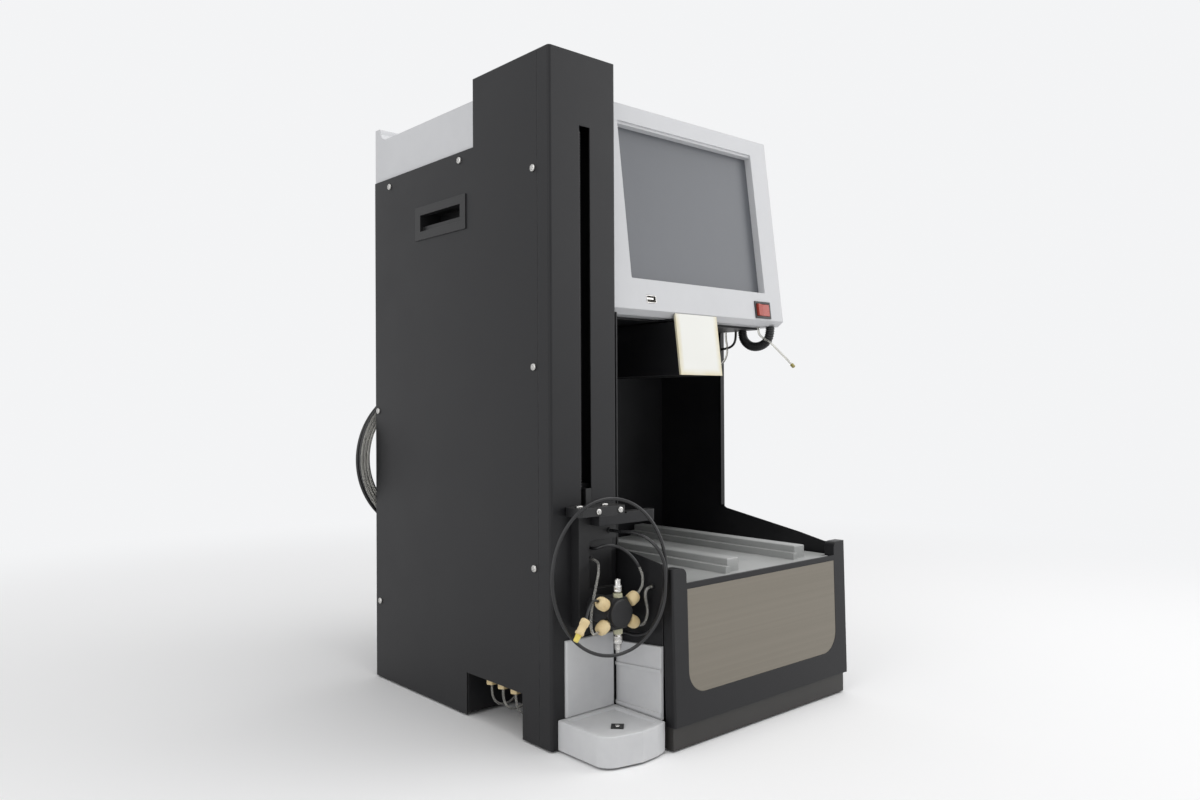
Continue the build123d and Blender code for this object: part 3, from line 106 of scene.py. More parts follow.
def add_lamp(name, place, target, size, power):
    data = bpy.data.lights.new(name, "AREA")
    data.shape = "RECTANGLE"
    data.size, data.size_y = size
    data.energy = power
    lamp = bpy.data.objects.new(name, data)
    lamp.location = place
    lamp.rotation_euler = (Vector(target) - Vector(place)).to_track_quat("-Z", "Y").to_euler()
    bpy.context.collection.objects.link(lamp)


def set_lamps():
    add_lamp("ceiling_lamp", (0.3, -0.6, 2.4), (0, 0, 0.3), (2.2, 1.8), 26)
    add_lamp("right_lamp", (1.9, -1.5, 1.1), (0, 0, 0.35), (1.4, 1.4), 13)
    add_lamp("left_lamp", (-2.2, -0.5, 1.0), (0, 0, 0.3), (1.2, 1.8), 9)


def lay_floor():
    mesh = bpy.data.meshes.new("floor")
    build = bmesh.new()
    bmesh.ops.create_circle(build, cap_ends=True, radius=9.0, segments=96)
    build.to_mesh(mesh)
    build.free()
    floor = bpy.data.objects.new("floor", mesh)
    floor.location = (0, 0, -0.0002)
    bpy.context.collection.objects.link(floor)
    paper = bpy.data.materials.new("pale_floor")
    paper.use_nodes = True
    shader = paper.node_tree.nodes["Principled BSDF"]
    shader.inputs["Base Color"].default_value = (0.93, 0.93, 0.935, 1)
    shader.inputs["Roughness"].default_value = 0.9
    shader.inputs["Specular IOR Level"].default_value = 0.1
    mesh.materials.append(paper)
    fade_to_room(paper, shader)


def fade_to_room(paper, shader):
    """Far floor takes the room's own colour, so that no horizon shows."""
    tree = paper.node_tree
    place = tree.nodes.new("ShaderNodeNewGeometry")
    reach = tree.nodes.new("ShaderNodeVectorMath")
    reach.operation = "LENGTH"
    tree.links.new(place.outputs["Position"], reach.inputs[0])
    share = tree.nodes.new("ShaderNodeMapRange")
    share.interpolation_type = "SMOOTHSTEP"
    share.inputs["From Min"].default_value = 0.55
    share.inputs["From Max"].default_value = 1.7
    tree.links.new(reach.outputs["Value"], share.inputs["Value"])
    glow = tree.nodes.new("ShaderNodeEmission")
    glow.inputs["Color"].default_value = ROOM_COLOUR
    mix = tree.nodes.new("ShaderNodeMixShader")
    tree.links.new(share.outputs["Result"], mix.inputs["Fac"])
    tree.links.new(shader.outputs[0], mix.inputs[1])
    tree.links.new(glow.outputs[0], mix.inputs[2])
    out = tree.nodes["Material Output"]
    tree.links.new(mix.outputs[0], out.inputs["Surface"])


# Shader groups that several finishes share

def new_group(name, inputs, outputs):
    group = bpy.data.node_groups.new(name, "ShaderNodeTree")
    for label, kind, value in inputs:
        socket = group.interface.new_socket(label, in_out="INPUT", socket_type=kind)
        socket.default_value = value
    for label, kind in outputs:
        group.interface.new_socket(label, in_out="OUTPUT", socket_type=kind)
    entry = group.nodes.new("NodeGroupInput")
    leave = group.nodes.new("NodeGroupOutput")
    return group, entry, leave


def math_node(tree, operation, first, second=None):
    node = tree.nodes.new("ShaderNodeMath")
    node.operation = operation
    for socket, value in zip(node.inputs, (first, second)):
        if value is None:
            continue
        if isinstance(value, (int, float)):
            socket.default_value = value
        else:
            tree.links.new(value, socket)
    return node.outputs[0]


def ramp_node(tree, value, low, high, start=0.0, end=1.0):
    node = tree.nodes.new("ShaderNodeMapRange")
    tree.links.new(value, node.inputs["Value"])
    node.inputs["From Min"].default_value = low
    node.inputs["From Max"].default_value = high
    node.inputs["To Min"].default_value = start
    node.inputs["To Max"].default_value = end
    return node.outputs["Result"]


def noise_node(tree, vector, scale, detail=2.0, roughness=0.5):
    node = tree.nodes.new("ShaderNodeTexNoise")
    if vector is not None:
        tree.links.new(vector, node.inputs["Vector"])
    if isinstance(scale, (int, float)):
        node.inputs["Scale"].default_value = scale
    else:
        tree.links.new(scale, node.inputs["Scale"])
    node.inputs["Detail"].default_value = detail
    node.inputs["Roughness"].default_value = roughness
    return node.outputs["Fac"]


def make_coat_texture():
    """Orange-peel texture of powder coat and of textured mouldings."""
    group, entry, leave = new_group(
        "coat_texture",
        [("Grain size", "NodeSocketFloat", 0.8), ("Blotch size", "NodeSocketFloat", 60.0)],
        [("Height", "NodeSocketFloat"), ("Blotch", "NodeSocketFloat")])
    coords = group.nodes.new("ShaderNodeTexCoord").outputs["Object"]
    grains = math_node(group, "DIVIDE", 1000.0, entry.outputs["Grain size"])
    fine = noise_node(group, coords, grains, 2.0)
    finer = noise_node(group, coords, math_node(group, "MULTIPLY", grains, 2.7), 1.0)
    height = math_node(group, "ADD", fine, math_node(group, "MULTIPLY", finer, 0.4))
    wide = math_node(group, "DIVIDE", 1000.0, entry.outputs["Blotch size"])
    blotch = noise_node(group, coords, wide, 4.0, 0.6)
    group.links.new(height, leave.inputs["Height"])
    group.links.new(blotch, leave.inputs["Blotch"])
    return group


def make_edge_wear():
    """Mask of rubbed edges, and the normal of slightly rounded edges."""
    group, entry, leave = new_group(
        "edge_wear",
        [("Edge radius", "NodeSocketFloat", 0.6)],
        [("Edge", "NodeSocketFloat"), ("Normal", "NodeSocketVector")])
    bevel = group.nodes.new("ShaderNodeBevel")
    bevel.samples = 4
    radius = math_node(group, "MULTIPLY", entry.outputs["Edge radius"], 0.001)
    group.links.new(radius, bevel.inputs["Radius"])
    surface = group.nodes.new("ShaderNodeNewGeometry")
    dot = group.nodes.new("ShaderNodeVectorMath")
    dot.operation = "DOT_PRODUCT"
    group.links.new(bevel.outputs["Normal"], dot.inputs[0])
    group.links.new(surface.outputs["Normal"], dot.inputs[1])
    turned = math_node(group, "SUBTRACT", 1.0, dot.outputs["Value"])
    mask = ramp_node(group, turned, 0.02, 0.22)
    coords = group.nodes.new("ShaderNodeTexCoord").outputs["Object"]
    patchy = ramp_node(group, noise_node(group, coords, 130.0, 3.0), 0.35, 0.65)
    group.links.new(math_node(group, "MULTIPLY", mask, patchy), leave.inputs["Edge"])
    group.links.new(bevel.outputs["Normal"], leave.inputs["Normal"])
    return group


def make_settled_dust():
    """Mask of fine dust on surfaces that face up."""
    group, entry, leave = new_group(
        "settled_dust",
        [("Amount", "NodeSocketFloat", 0.5)],
        [("Dust", "NodeSocketFloat")])
    surface = group.nodes.new("ShaderNodeNewGeometry")
    split = group.nodes.new("ShaderNodeSeparateXYZ")
    group.links.new(surface.outputs["Normal"], split.inputs[0])
    facing = ramp_node(group, split.outputs["Z"], 0.4, 1.0)
    coords = group.nodes.new("ShaderNodeTexCoord").outputs["Object"]
    cloud = ramp_node(group, noise_node(group, coords, 22.0, 6.0, 0.65), 0.35, 0.75)
    both = math_node(group, "MULTIPLY", facing, cloud)
    amount = math_node(group, "MULTIPLY", both, entry.outputs["Amount"])
    group.links.new(amount, leave.inputs["Dust"])
    return group


def make_drawn_lines():
    """Fine parallel lines of brushed, turned or extruded metal along one axis."""
    group, entry, leave = new_group(
        "drawn_lines",
        [("Stretch", "NodeSocketVector", (8.0, 900.0, 900.0))],
        [("Height", "NodeSocketFloat"), ("Tone", "NodeSocketFloat")])
    coords = group.nodes.new("ShaderNodeTexCoord").outputs["Object"]
    scaled = group.nodes.new("ShaderNodeVectorMath")
    scaled.operation = "MULTIPLY"
    group.links.new(coords, scaled.inputs[0])
    group.links.new(entry.outputs["Stretch"], scaled.inputs[1])
    lines = noise_node(group, scaled.outputs[0], 1.0, 3.0, 0.6)
    broad = group.nodes.new("ShaderNodeVectorMath")
    broad.operation = "SCALE"
    broad.inputs["Scale"].default_value = 0.12
    group.links.new(scaled.outputs[0], broad.inputs[0])
    tone = noise_node(group, broad.outputs[0], 1.0, 4.0, 0.6)
    group.links.new(lines, leave.inputs["Height"])
    group.links.new(tone, leave.inputs["Tone"])
    return group


coat_texture = make_coat_texture()
edge_wear = make_edge_wear()
settled_dust = make_settled_dust()
drawn_lines = make_drawn_lines()


# Finishes

def new_finish(name, roughness=0.5, specular=0.5, metallic=0.0):
    finish = bpy.data.materials.new(name)
    finish.use_nodes = True
    shader = finish.node_tree.nodes["Principled BSDF"]
    shader.inputs["Roughness"].default_value = roughness
    shader.inputs["Specular IOR Level"].default_value = specular
    shader.inputs["Metallic"].default_value = metallic
    return finish, finish.node_tree, shader


def place_group(tree, group, **values):
    node = tree.nodes.new("ShaderNodeGroup")
    node.node_tree = group
    for label, value in values.items():
        node.inputs[label.replace("_", " ")].default_value = value
    return node.outputs


def mix_colours(tree, mask, first, second):
    node = tree.nodes.new("ShaderNodeMix")
    node.data_type = "RGBA"
    if isinstance(mask, (int, float)):
        node.inputs["Factor"].default_value = mask
    else:
        tree.links.new(mask, node.inputs["Factor"])
    for socket, value in ((node.inputs["A"], first), (node.inputs["B"], second)):
        if isinstance(value, tuple):
            socket.default_value = (*value, 1)
        else:
            tree.links.new(value, socket)
    return node.outputs["Result"]


def add_bump(tree, shader, height, strength, distance, normal=None):
    bump = tree.nodes.new("ShaderNodeBump")
    bump.inputs["Strength"].default_value = strength
    bump.inputs["Distance"].default_value = distance
    tree.links.new(height, bump.inputs["Height"])
    if normal is not None:
        tree.links.new(normal, bump.inputs["Normal"])
    tree.links.new(bump.outputs["Normal"], shader.inputs["Normal"])


def coated(name, dark, pale, edge, grain, bump, rough, specular, dust=0.0, radius=0.5,
           dust_colour=(0.25, 0.24, 0.22)):
    """Coated or moulded surface with its grain, blotches, rubbed edges and dust."""
    finish, tree, shader = new_finish(name, specular=specular)
    texture = place_group(tree, coat_texture, Grain_size=grain, Blotch_size=55.0)
    wear = place_group(tree, edge_wear, Edge_radius=radius)
    colour = mix_colours(tree, ramp_node(tree, texture["Blotch"], 0.3, 0.7), dark, pale)
    colour = mix_colours(tree, wear["Edge"], colour, edge)
    if dust:
        film = place_group(tree, settled_dust, Amount=dust)
        colour = mix_colours(tree, film["Dust"], colour, dust_colour)
    tree.links.new(colour, shader.inputs["Base Color"])
    tree.links.new(ramp_node(tree, texture["Blotch"], 0.3, 0.7, rough[0], rough[1]),
                   shader.inputs["Roughness"])
    add_bump(tree, shader, texture["Height"], bump, 0.0002, wear["Normal"])
    return finish


def worked_metal(name, dark, pale, stretch, rough, bump=0.12, radius=0.3):
    """Brushed, turned or drawn metal."""
    finish, tree, shader = new_finish(name, metallic=1.0)
    lines = place_group(tree, drawn_lines, Stretch=stretch)
    wear = place_group(tree, edge_wear, Edge_radius=radius)
    tone = ramp_node(tree, lines["Tone"], 0.3, 0.7)
    tree.links.new(mix_colours(tree, tone, dark, pale), shader.inputs["Base Color"])
    tree.links.new(ramp_node(tree, lines["Height"], 0.3, 0.7, rough[0], rough[1]),
                   shader.inputs["Roughness"])
    add_bump(tree, shader, lines["Height"], bump, 0.0001, wear["Normal"])
    return finish


def make_clear_tube():
    finish, tree, shader = new_finish("clear_tube", roughness=0.14, specular=0.5)
    shader.inputs["Transmission Weight"].default_value = 0.78
    shader.inputs["IOR"].default_value = 1.34
    texture = place_group(tree, coat_texture, Grain_size=2.5, Blotch_size=14.0)
    milky = ramp_node(tree, texture["Blotch"], 0.3, 0.7)
    tree.links.new(mix_colours(tree, milky, (0.72, 0.71, 0.67), (0.86, 0.85, 0.80)),
                   shader.inputs["Base Color"])
    add_bump(tree, shader, texture["Height"], 0.05, 0.0002)
    return finish


def make_screen_film():
    """Matt film over the display, grey with a faint lighter haze."""
    finish, tree, shader = new_finish("screen_film", specular=0.45)
    shader.inputs["Coat Roughness"].default_value = 0.3
    texture = place_group(tree, coat_texture, Grain_size=0.35, Blotch_size=120.0)
    haze = ramp_node(tree, texture["Blotch"], 0.35, 0.65)
    tree.links.new(mix_colours(tree, haze, (0.115, 0.122, 0.136), (0.130, 0.137, 0.150)),
                   shader.inputs["Base Color"])
    tree.links.new(ramp_node(tree, texture["Blotch"], 0.3, 0.7, 0.36, 0.44),
                   shader.inputs["Roughness"])
    add_bump(tree, shader, texture["Height"], 0.04, 0.0001)
    return finish


def make_cream_plate():
    """Cream plate of the collector arm, yellowed towards its sides."""
    finish, tree, shader = new_finish("cream_plate", specular=0.4)
    coords = tree.nodes.new("ShaderNodeTexCoord").outputs["Object"]
    split = tree.nodes.new("ShaderNodeSeparateXYZ")
    tree.links.new(coords, split.inputs[0])
    middle = at(211.25, 0, 0).x
    offset = math_node(tree, "SUBTRACT", split.outputs["X"], middle)
    side = math_node(tree, "ABSOLUTE", offset)
    side = ramp_node(tree, side, 0.026, 0.033)
    low = ramp_node(tree, split.outputs["Z"], 0.366, 0.359)
    rim = math_node(tree, "MAXIMUM", side, low)
    texture = place_group(tree, coat_texture, Grain_size=1.2, Blotch_size=20.0)
    patchy = ramp_node(tree, texture["Blotch"], 0.3, 0.6, 0.5, 1.0)
    aged = math_node(tree, "MULTIPLY", rim, patchy)
    colour = mix_colours(tree, aged, (0.80, 0.80, 0.76), (0.70, 0.63, 0.42))
    wear = place_group(tree, edge_wear, Edge_radius=0.5)
    tree.links.new(colour, shader.inputs["Base Color"])
    tree.links.new(ramp_node(tree, texture["Blotch"], 0.3, 0.7, 0.34, 0.44),
                   shader.inputs["Roughness"])
    add_bump(tree, shader, texture["Height"], 0.05, 0.0002, wear["Normal"])
    return finish


def make_natural_polymer():
    """Beige polymer of the finger nuts and of the port."""
    finish, tree, shader = new_finish("natural_polymer", specular=0.5)
    texture = place_group(tree, coat_texture, Grain_size=0.6, Blotch_size=9.0)
    wear = place_group(tree, edge_wear, Edge_radius=0.3)
    tone = ramp_node(tree, texture["Blotch"], 0.3, 0.7)
    colour = mix_colours(tree, tone, (0.66, 0.50, 0.25), (0.78, 0.63, 0.37))
    colour = mix_colours(tree, wear["Edge"], colour, (0.84, 0.72, 0.48))
    tree.links.new(colour, shader.inputs["Base Color"])
    tree.links.new(ramp_node(tree, texture["Blotch"], 0.3, 0.7, 0.34, 0.5),
                   shader.inputs["Roughness"])
    add_bump(tree, shader, texture["Height"], 0.06, 0.0001, wear["Normal"])
    return finish


def make_finishes():
    black = (0.0095, 0.0095, 0.0108)
    return {
        "coat": coated("black_coat", black, (0.0135, 0.0135, 0.0150), (0.05, 0.05, 0.052),
                       0.7, 0.30, (0.42, 0.50), 0.32, 0.10, 1.0),
        "kick": coated("kick_plate_coat", (0.040, 0.038, 0.036), (0.048, 0.046, 0.044),
                       (0.09, 0.09, 0.085), 0.7, 0.24, (0.40, 0.50), 0.32, 0.12, 1.0),
        "satin": coated("black_moulding", (0.011, 0.011, 0.012), (0.016, 0.016, 0.017),
                        (0.03, 0.03, 0.03), 0.5, 0.12, (0.36, 0.46), 0.4, 0.12, 0.6),
        "rubber": coated("black_rubber", (0.012, 0.012, 0.012), (0.02, 0.02, 0.02),
                         (0.04, 0.04, 0.04), 0.9, 0.2, (0.7, 0.85), 0.3, 0.3, 0.5),
        "grey": coated("pale_grey_moulding", (0.585, 0.59, 0.605), (0.62, 0.625, 0.64),
                       (0.70, 0.70, 0.71), 0.45, 0.14, (0.44, 0.54), 0.4, 0.12, 1.2,
                       (0.48, 0.47, 0.45)),
        "guard": coated("splash_moulding", (0.57, 0.575, 0.59), (0.66, 0.665, 0.67),
                        (0.74, 0.74, 0.74), 0.5, 0.10, (0.38, 0.52), 0.4, 0.10, 0.8,
                        (0.5, 0.49, 0.46)),
        "tray": coated("tray_moulding", (0.36, 0.37, 0.365), (0.42, 0.425, 0.42),
                       (0.42, 0.42, 0.42), 0.6, 0.15, (0.32, 0.46), 0.45, 0.25, 1.0,
                       (0.42, 0.42, 0.40)),
        "red": coated("red_rocker", (0.36, 0.045, 0.030), (0.42, 0.060, 0.040),
                      (0.50, 0.12, 0.08), 0.8, 0.04, (0.22, 0.32), 0.5, 0.05, 0.5,
                      (0.4, 0.2, 0.16)),
        "tube": coated("black_tubing", (0.010, 0.010, 0.011), (0.015, 0.015, 0.016),
                       (0.02, 0.02, 0.02), 1.2, 0.06, (0.24, 0.34), 0.5, 0.05, 0.3,
                       (0.12, 0.12, 0.11)),
        "steel": worked_metal("turned_steel", (0.50, 0.49, 0.47), (0.66, 0.65, 0.63),
                              (420.0, 420.0, 420.0), (0.22, 0.36)),
        "blackened": worked_metal("blackened_steel", (0.045, 0.045, 0.046),
                                  (0.075, 0.075, 0.076), (300.0, 300.0, 60.0), (0.36, 0.5)),
        "plate": worked_metal("brushed_plate", (0.225, 0.205, 0.172), (0.242, 0.221, 0.186),
                              (9.0, 500.0, 2600.0), (0.30, 0.40), 0.2, 0.4),
        "rod": worked_metal("ground_rod", (0.52, 0.52, 0.53), (0.66, 0.66, 0.67),
                            (40.0, 900.0, 900.0), (0.14, 0.24)),
        "aluminium": worked_metal("machined_aluminium", (0.50, 0.50, 0.51), (0.62, 0.62, 0.63),
                                  (120.0, 600.0, 600.0), (0.3, 0.42)),
        "polymer": make_natural_polymer(),
        "clear": make_clear_tube(),
        "film": make_screen_film(),
        "cream": make_cream_plate(),
        "greenish": coated("greenish_collar", (0.40, 0.40, 0.27), (0.48, 0.47, 0.33),
                           (0.6, 0.6, 0.5), 0.5, 0.06, (0.34, 0.44), 0.5, 0.05, 0.3),
        "yellow": coated("yellow_tip", (0.70, 0.56, 0.10), (0.80, 0.66, 0.16),
                         (0.85, 0.75, 0.3), 0.5, 0.06, (0.3, 0.4), 0.5, 0.0, 0.3),
        "olive": coated("olive_tip", (0.30, 0.26, 0.08), (0.38, 0.33, 0.11),
                        (0.5, 0.45, 0.2), 0.5, 0.06, (0.4, 0.5), 0.5, 0.0, 0.3),
        # Near-black painted shade for the screw recesses; the steel itself is not this dark.
        "dark": coated("recess_painted_shade", (0.004, 0.004, 0.004), (0.006, 0.006, 0.006),
                       (0.01, 0.01, 0.01), 0.8, 0.1, (0.6, 0.7), 0.3, 0.0, 0.3),
    }


NODE_FINISHES = {
    "coat": ("base_pan", "inlet_niche", "left_side_panel", "tower_cover", "column_arm",
             "bay_walls", "right_side_panel", "rear_panel", "fascia",
             "gantry_plate", "arm_body"),
    "kick": ("skirt",),
    "satin": ("handle_cups", "column_carriage", "valve_panel", "valve_body", "tube_glands",
              "switch_bezel", "delivery_head", "power_inlet", "fan_frame", "fan_rotor"),
    "rubber": ("rubber_feet", "drive_belt"),
    "polymer": ("tube_fittings",),
    "grey": ("display_housing", "top_cover"),
    "guard": ("drip_tray", "splash_guards"),
    "tray": ("rack_tray",),
    "red": ("power_rocker",),
    "film": ("touch_screen",),
    "cream": ("arm_front_plate",),
    "plate": ("steel_plate",),
    "blackened": ("slot_guide", "rack_strip", "drive_motors", "drain_insert"),
    "steel": ("valve_rotor", "usb_port"),
    "rod": ("gantry_rods",),
    "aluminium": ("drive_pulley", "idler_pulley", "inner_modules"),
}


def finish_nodes():
    """Every node of the part gets the finish of the real piece."""
    for label, names in NODE_FINISHES.items():
        for name in names:
            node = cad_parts[name]
            mesh = node.data
            for index in range(max(1, len(mesh.materials))):
                if node.material_slots:
                    node.material_slots[index].link = "OBJECT"
                    node.material_slots[index].material = finishes[label]
                else:
                    mesh.materials.append(finishes[label])


# Pieces made here

def add_mesh(name, build, finish, body):
    mesh = bpy.data.meshes.new(name)
    build.to_mesh(mesh)
    build.free()
    mesh.materials.append(finish)
    piece = bpy.data.objects.new(name, mesh)
    bpy.context.collection.objects.link(piece)
    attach(piece, body)
    return piece


def turned(build, place, profile, steps=40, flutes=None, smooth=True):
    """Turned form about the Z axis of place, from radius and height in millimetres.
    flutes is (first, last, count, depth) for a fluted stretch of the profile."""
    rings = []
    for index, (radius, height) in enumerate(profile):
        ring = []
        for step in range(steps):
            angle = 2 * math.pi * step / steps
            reach = radius
            if flutes and flutes[0] <= index <= flutes[1]:
                reach -= flutes[3] * (0.5 - 0.5 * math.cos(flutes[2] * angle))
            point = Vector((reach * math.cos(angle), reach * math.sin(angle), height)) / 1000
            ring.append(build.verts.new(place @ point))
        rings.append(ring)
    for low, high in zip(rings, rings[1:]):
        for step in range(steps):
            after = (step + 1) % steps
            face = build.faces.new((low[step], low[after], high[after], high[step]))
            face.smooth = smooth
    build.faces.new(list(reversed(rings[0])))
    build.faces.new(rings[-1])


def facing(point, direction):
    """Place with its Z axis along a direction."""
    turn = Vector(direction).to_track_quat("Z", "Y").to_matrix().to_4x4()
    return Matrix.Translation(point) @ turn


def pan_head(build, place, radius, height):
    """Domed screw head."""
    r = radius
    h = height
    profile = [(r * 0.98, 0), (r, 0.12 * h), (r, 0.42 * h), (0.95 * r, 0.66 * h),
               (0.82 * r, 0.85 * h), (0.62 * r, 0.96 * h), (0.30 * r, h)]
    turned(build, place, profile, 32)


def cross_recess(build, place, radius, height):
    """Dark cross of the driver recess, a hair above the head; its near-black colour is painted
    shade of the hollow, not a colour of the steel.
    """
    arm = 0.55 * radius / 1000
    half = 0.13 * radius / 1000
    top = (height + 0.02) / 1000
    low = (height - 0.9) / 1000
    for long, wide in ((arm, half), (half, arm)):
        corners = [(-long, -wide), (long, -wide), (long, wide), (-long, wide)]
        upper = [build.verts.new(place @ Vector((x, y, top))) for x, y in corners]
        lower = [build.verts.new(place @ Vector((x * 0.5, y * 0.5, low))) for x, y in corners]
        build.faces.new(upper)
        for index in range(4):
            after = (index + 1) % 4
            build.faces.new((lower[index], lower[after], upper[after], upper[index]))


def screw(heads, recesses, place, radius, height):
    pan_head(heads, place, radius, height)
    cross_recess(recesses, place, radius, height - 0.04)


# Radius and height of the heads
SIDE_SCREW = (3.6, 2.2)
FRONT_SCREW = (3.0, 1.6)

# Places from front to rear and in height
LEFT_SCREWS = [(303.6, 586.9), (153.3, 588.2), (24.8, 555.2), (24.7, 363.9), (333.0, 321.0),
               (329.5, 92.7), (24.9, 170.5)]
RIGHT_SCREWS = [(303.6, 586.9), (153.3, 588.2), (333.0, 321.0), (329.5, 92.7),
                (110.0, 321.0)]


def make_side_screws():
    places = [facing(at(0, y, z), (-1, 0, 0)) for y, z in LEFT_SCREWS]
    places += [facing(at(WIDTH, y, z), (1, 0, 0)) for y, z in RIGHT_SCREWS]
    heads = bmesh.new()
    recesses = bmesh.new()
    for place in places:
        screw(heads, recesses, place, *SIDE_SCREW)
    screws = add_mesh("side_screw_heads", heads, finishes["steel"], "cabinet")
    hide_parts("panel_screws")
    # The recess crosses carry painted shade, dark where the hollow would be shaded.
    add_mesh("side_screw_recess_shade", recesses, finishes["dark"], "cabinet")


def make_carriage_screws():
    heads = bmesh.new()
    recesses = bmesh.new()
    for x in (25.0, 57.0):
        screw(heads, recesses, facing(at(x, -12, 230.0), (0, 0, 1)), *SIDE_SCREW)
    for x in (39.0, 67.0):
        screw(heads, recesses, facing(at(x, -24, 225.8), (0, -1, 0)), *FRONT_SCREW)
    screws = add_mesh("carriage_screw_heads", heads, finishes["steel"], "column_holder")
    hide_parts("carriage_screws")
    # The recess crosses carry painted shade, dark where the hollow would be shaded.
    add_mesh("carriage_screw_recess_shade", recesses, finishes["dark"], "column_holder")


VALVE = (46.4, -42.0, 132.2)


def valve_port(angle):
    """Place at the valve's middle, Z axis out through the port at this angle."""
    c = math.cos(math.radians(angle))
    s = math.sin(math.radians(angle))
    return facing(at(*VALVE), (c, 0, s))


def make_finger_nuts():
    build = bmesh.new()
    profile = [(3.0, 14.5), (3.0, 16.0), (3.8, 16.0), (5.0, 16.6), (5.6, 17.3), (6.1, 18.6),
               (6.2, 19.2), (6.2, 21.4), (6.2, 23.6), (6.1, 24.4), (5.5, 26.2), (5.3, 26.7),
               (4.6, 27.6), (3.4, 28.3), (1.9, 28.4), (1.7, 27.6)]
    for angle in (30, 150, 210, 330):
        turned(build, valve_port(angle), profile, 96, (4, 10, 24, 0.42))
    nuts = add_mesh("fluted_finger_nuts", build, finishes["polymer"], "cabinet")
    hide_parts("finger_nuts")


def make_steel_fittings():
    collars = bmesh.new()
    unions = bmesh.new()
    turned(collars, valve_port(90), [(4.4, 14.5), (4.7, 14.9), (4.7, 18.1), (4.4, 18.5)], 6,
           smooth=False)
    turned(collars, valve_port(270), [(4.4, 14.5), (4.7, 14.9), (4.7, 19.1), (4.4, 19.5)], 6,
           smooth=False)
    turned(unions, valve_port(90),
           [(3.2, 18.5), (3.4, 18.7), (3.4, 20.0), (3.9, 20.1), (4.0, 20.5), (4.0, 21.6),
            (3.7, 21.9), (3.7, 22.5), (4.0, 22.8), (4.0, 25.0), (3.8, 25.5), (2.9, 26.1),
            (2.9, 30.8), (2.6, 31.5), (1.2, 31.5), (1.1, 29.0)], 96, (4, 10, 28, 0.25))
    turned(unions, valve_port(270),
           [(3.4, 19.5), (3.6, 19.7), (3.6, 21.5), (4.2, 21.6), (4.3, 22.0), (4.3, 24.0),
            (4.0, 24.3), (4.0, 25.0), (4.3, 25.3), (4.3, 28.0), (4.1, 28.5), (3.1, 29.1),
            (3.1, 34.0), (2.8, 34.5), (2.1, 35.1), (2.1, 38.2), (1.8, 38.5), (0.8, 38.5),
            (0.7, 36.0)], 96, (4, 10, 28, 0.25))
    lower = add_mesh("union_collars", collars, finishes["greenish"], "cabinet")
    upper = add_mesh("steel_unions", unions, finishes["steel"], "cabinet")
    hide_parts("steel_fittings")
    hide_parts("steel_fittings")


def new_curve(name, kind, points, resolution=12):
    """Curve through points of the frame, in metres."""
    curve = bpy.data.curves.new(name, "CURVE")
    curve.dimensions = "3D"
    curve.resolution_u = resolution
    spline = curve.splines.new(kind)
    spline.points.add(len(points) - 1)
    for point, place in zip(spline.points, points):
        point.co = (*place, 1)
    if kind == "NURBS":
        spline.order_u = 3
        spline.use_endpoint_u = True
    return curve


def place_curve(name, curve, radius, roundness, finish, body, caps=True):
    """Object from a curve of this radius, in millimetres."""
    curve.bevel_depth = radius / 1000
    curve.bevel_resolution = roundness
    curve.use_fill_caps = caps
    curve.materials.append(finish)
    piece = bpy.data.objects.new(name, curve)
    bpy.context.collection.objects.link(piece)
    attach(piece, body)
    return piece


def drawn_line(name, points, radius, finish, body, resolution=10):
    """Round line on one smooth curve through a route in the drawing's millimetres."""
    curve = new_curve(name, "NURBS", [at(*place) for place in points], resolution)
    return place_curve(name, curve, radius, 5, finish, body)


def centre_line(name, points):
    """Points along the smooth curve of a route, read from the curve itself."""
    curve = new_curve(name, "NURBS", [at(*place) for place in points], 16)
    holder = bpy.data.objects.new(name, curve)
    mesh = bpy.data.meshes.new_from_object(holder)
    line = [vertex.co.copy() for vertex in mesh.vertices]
    bpy.data.meshes.remove(mesh)
    bpy.data.objects.remove(holder)
    bpy.data.curves.remove(curve)
    return line


LOOP_ENDS = ([(74.5, -1.6, 106.0), (74.5, -18.0, 106.0), (75.5, -38.0, 105.0),
              (76.0, -56.0, 113.0)],
             [(77.0, -76.0, 172.0), (73.5, -72.5, 190.0), (69.0, -61.0, 201.5),
              (66.0, -46.0, 206.0), (64.0, -31.0, 205.4), (64.0, -21.0, 205.0),
              (64.0, -13.0, 205.0)])


LOOP_MIDDLE = (26.8, -52.6, 170.0)
LOOP_HALF_WIDTH = 57.5
LOOP_HALF_HEIGHT = 71.5
LOOP_YAW = math.radians(19.0)
LOOP_FORWARD = 4.6
# A curve drawn from corners 30 degrees apart lies inside them by this share.
CORNER_SHARE = 0.967


def loop_corner(angle):
    a = math.radians(angle)
    across = LOOP_HALF_WIDTH / CORNER_SHARE * math.cos(a)
    forward = LOOP_FORWARD * (angle + 30) / 360
    x, y, z = LOOP_MIDDLE
    return (x + across * math.cos(LOOP_YAW), y - across * math.sin(LOOP_YAW) - forward,
            z + LOOP_HALF_HEIGHT / CORNER_SHARE * math.sin(a))


def make_sample_loop():
    route = LOOP_ENDS[0] + [loop_corner(a) for a in range(-30, 331, 30)] + LOOP_ENDS[1]
    loop = drawn_line("looped_sample_tube", route, 1.6, finishes["tube"], "cabinet")
    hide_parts("sample_loop")


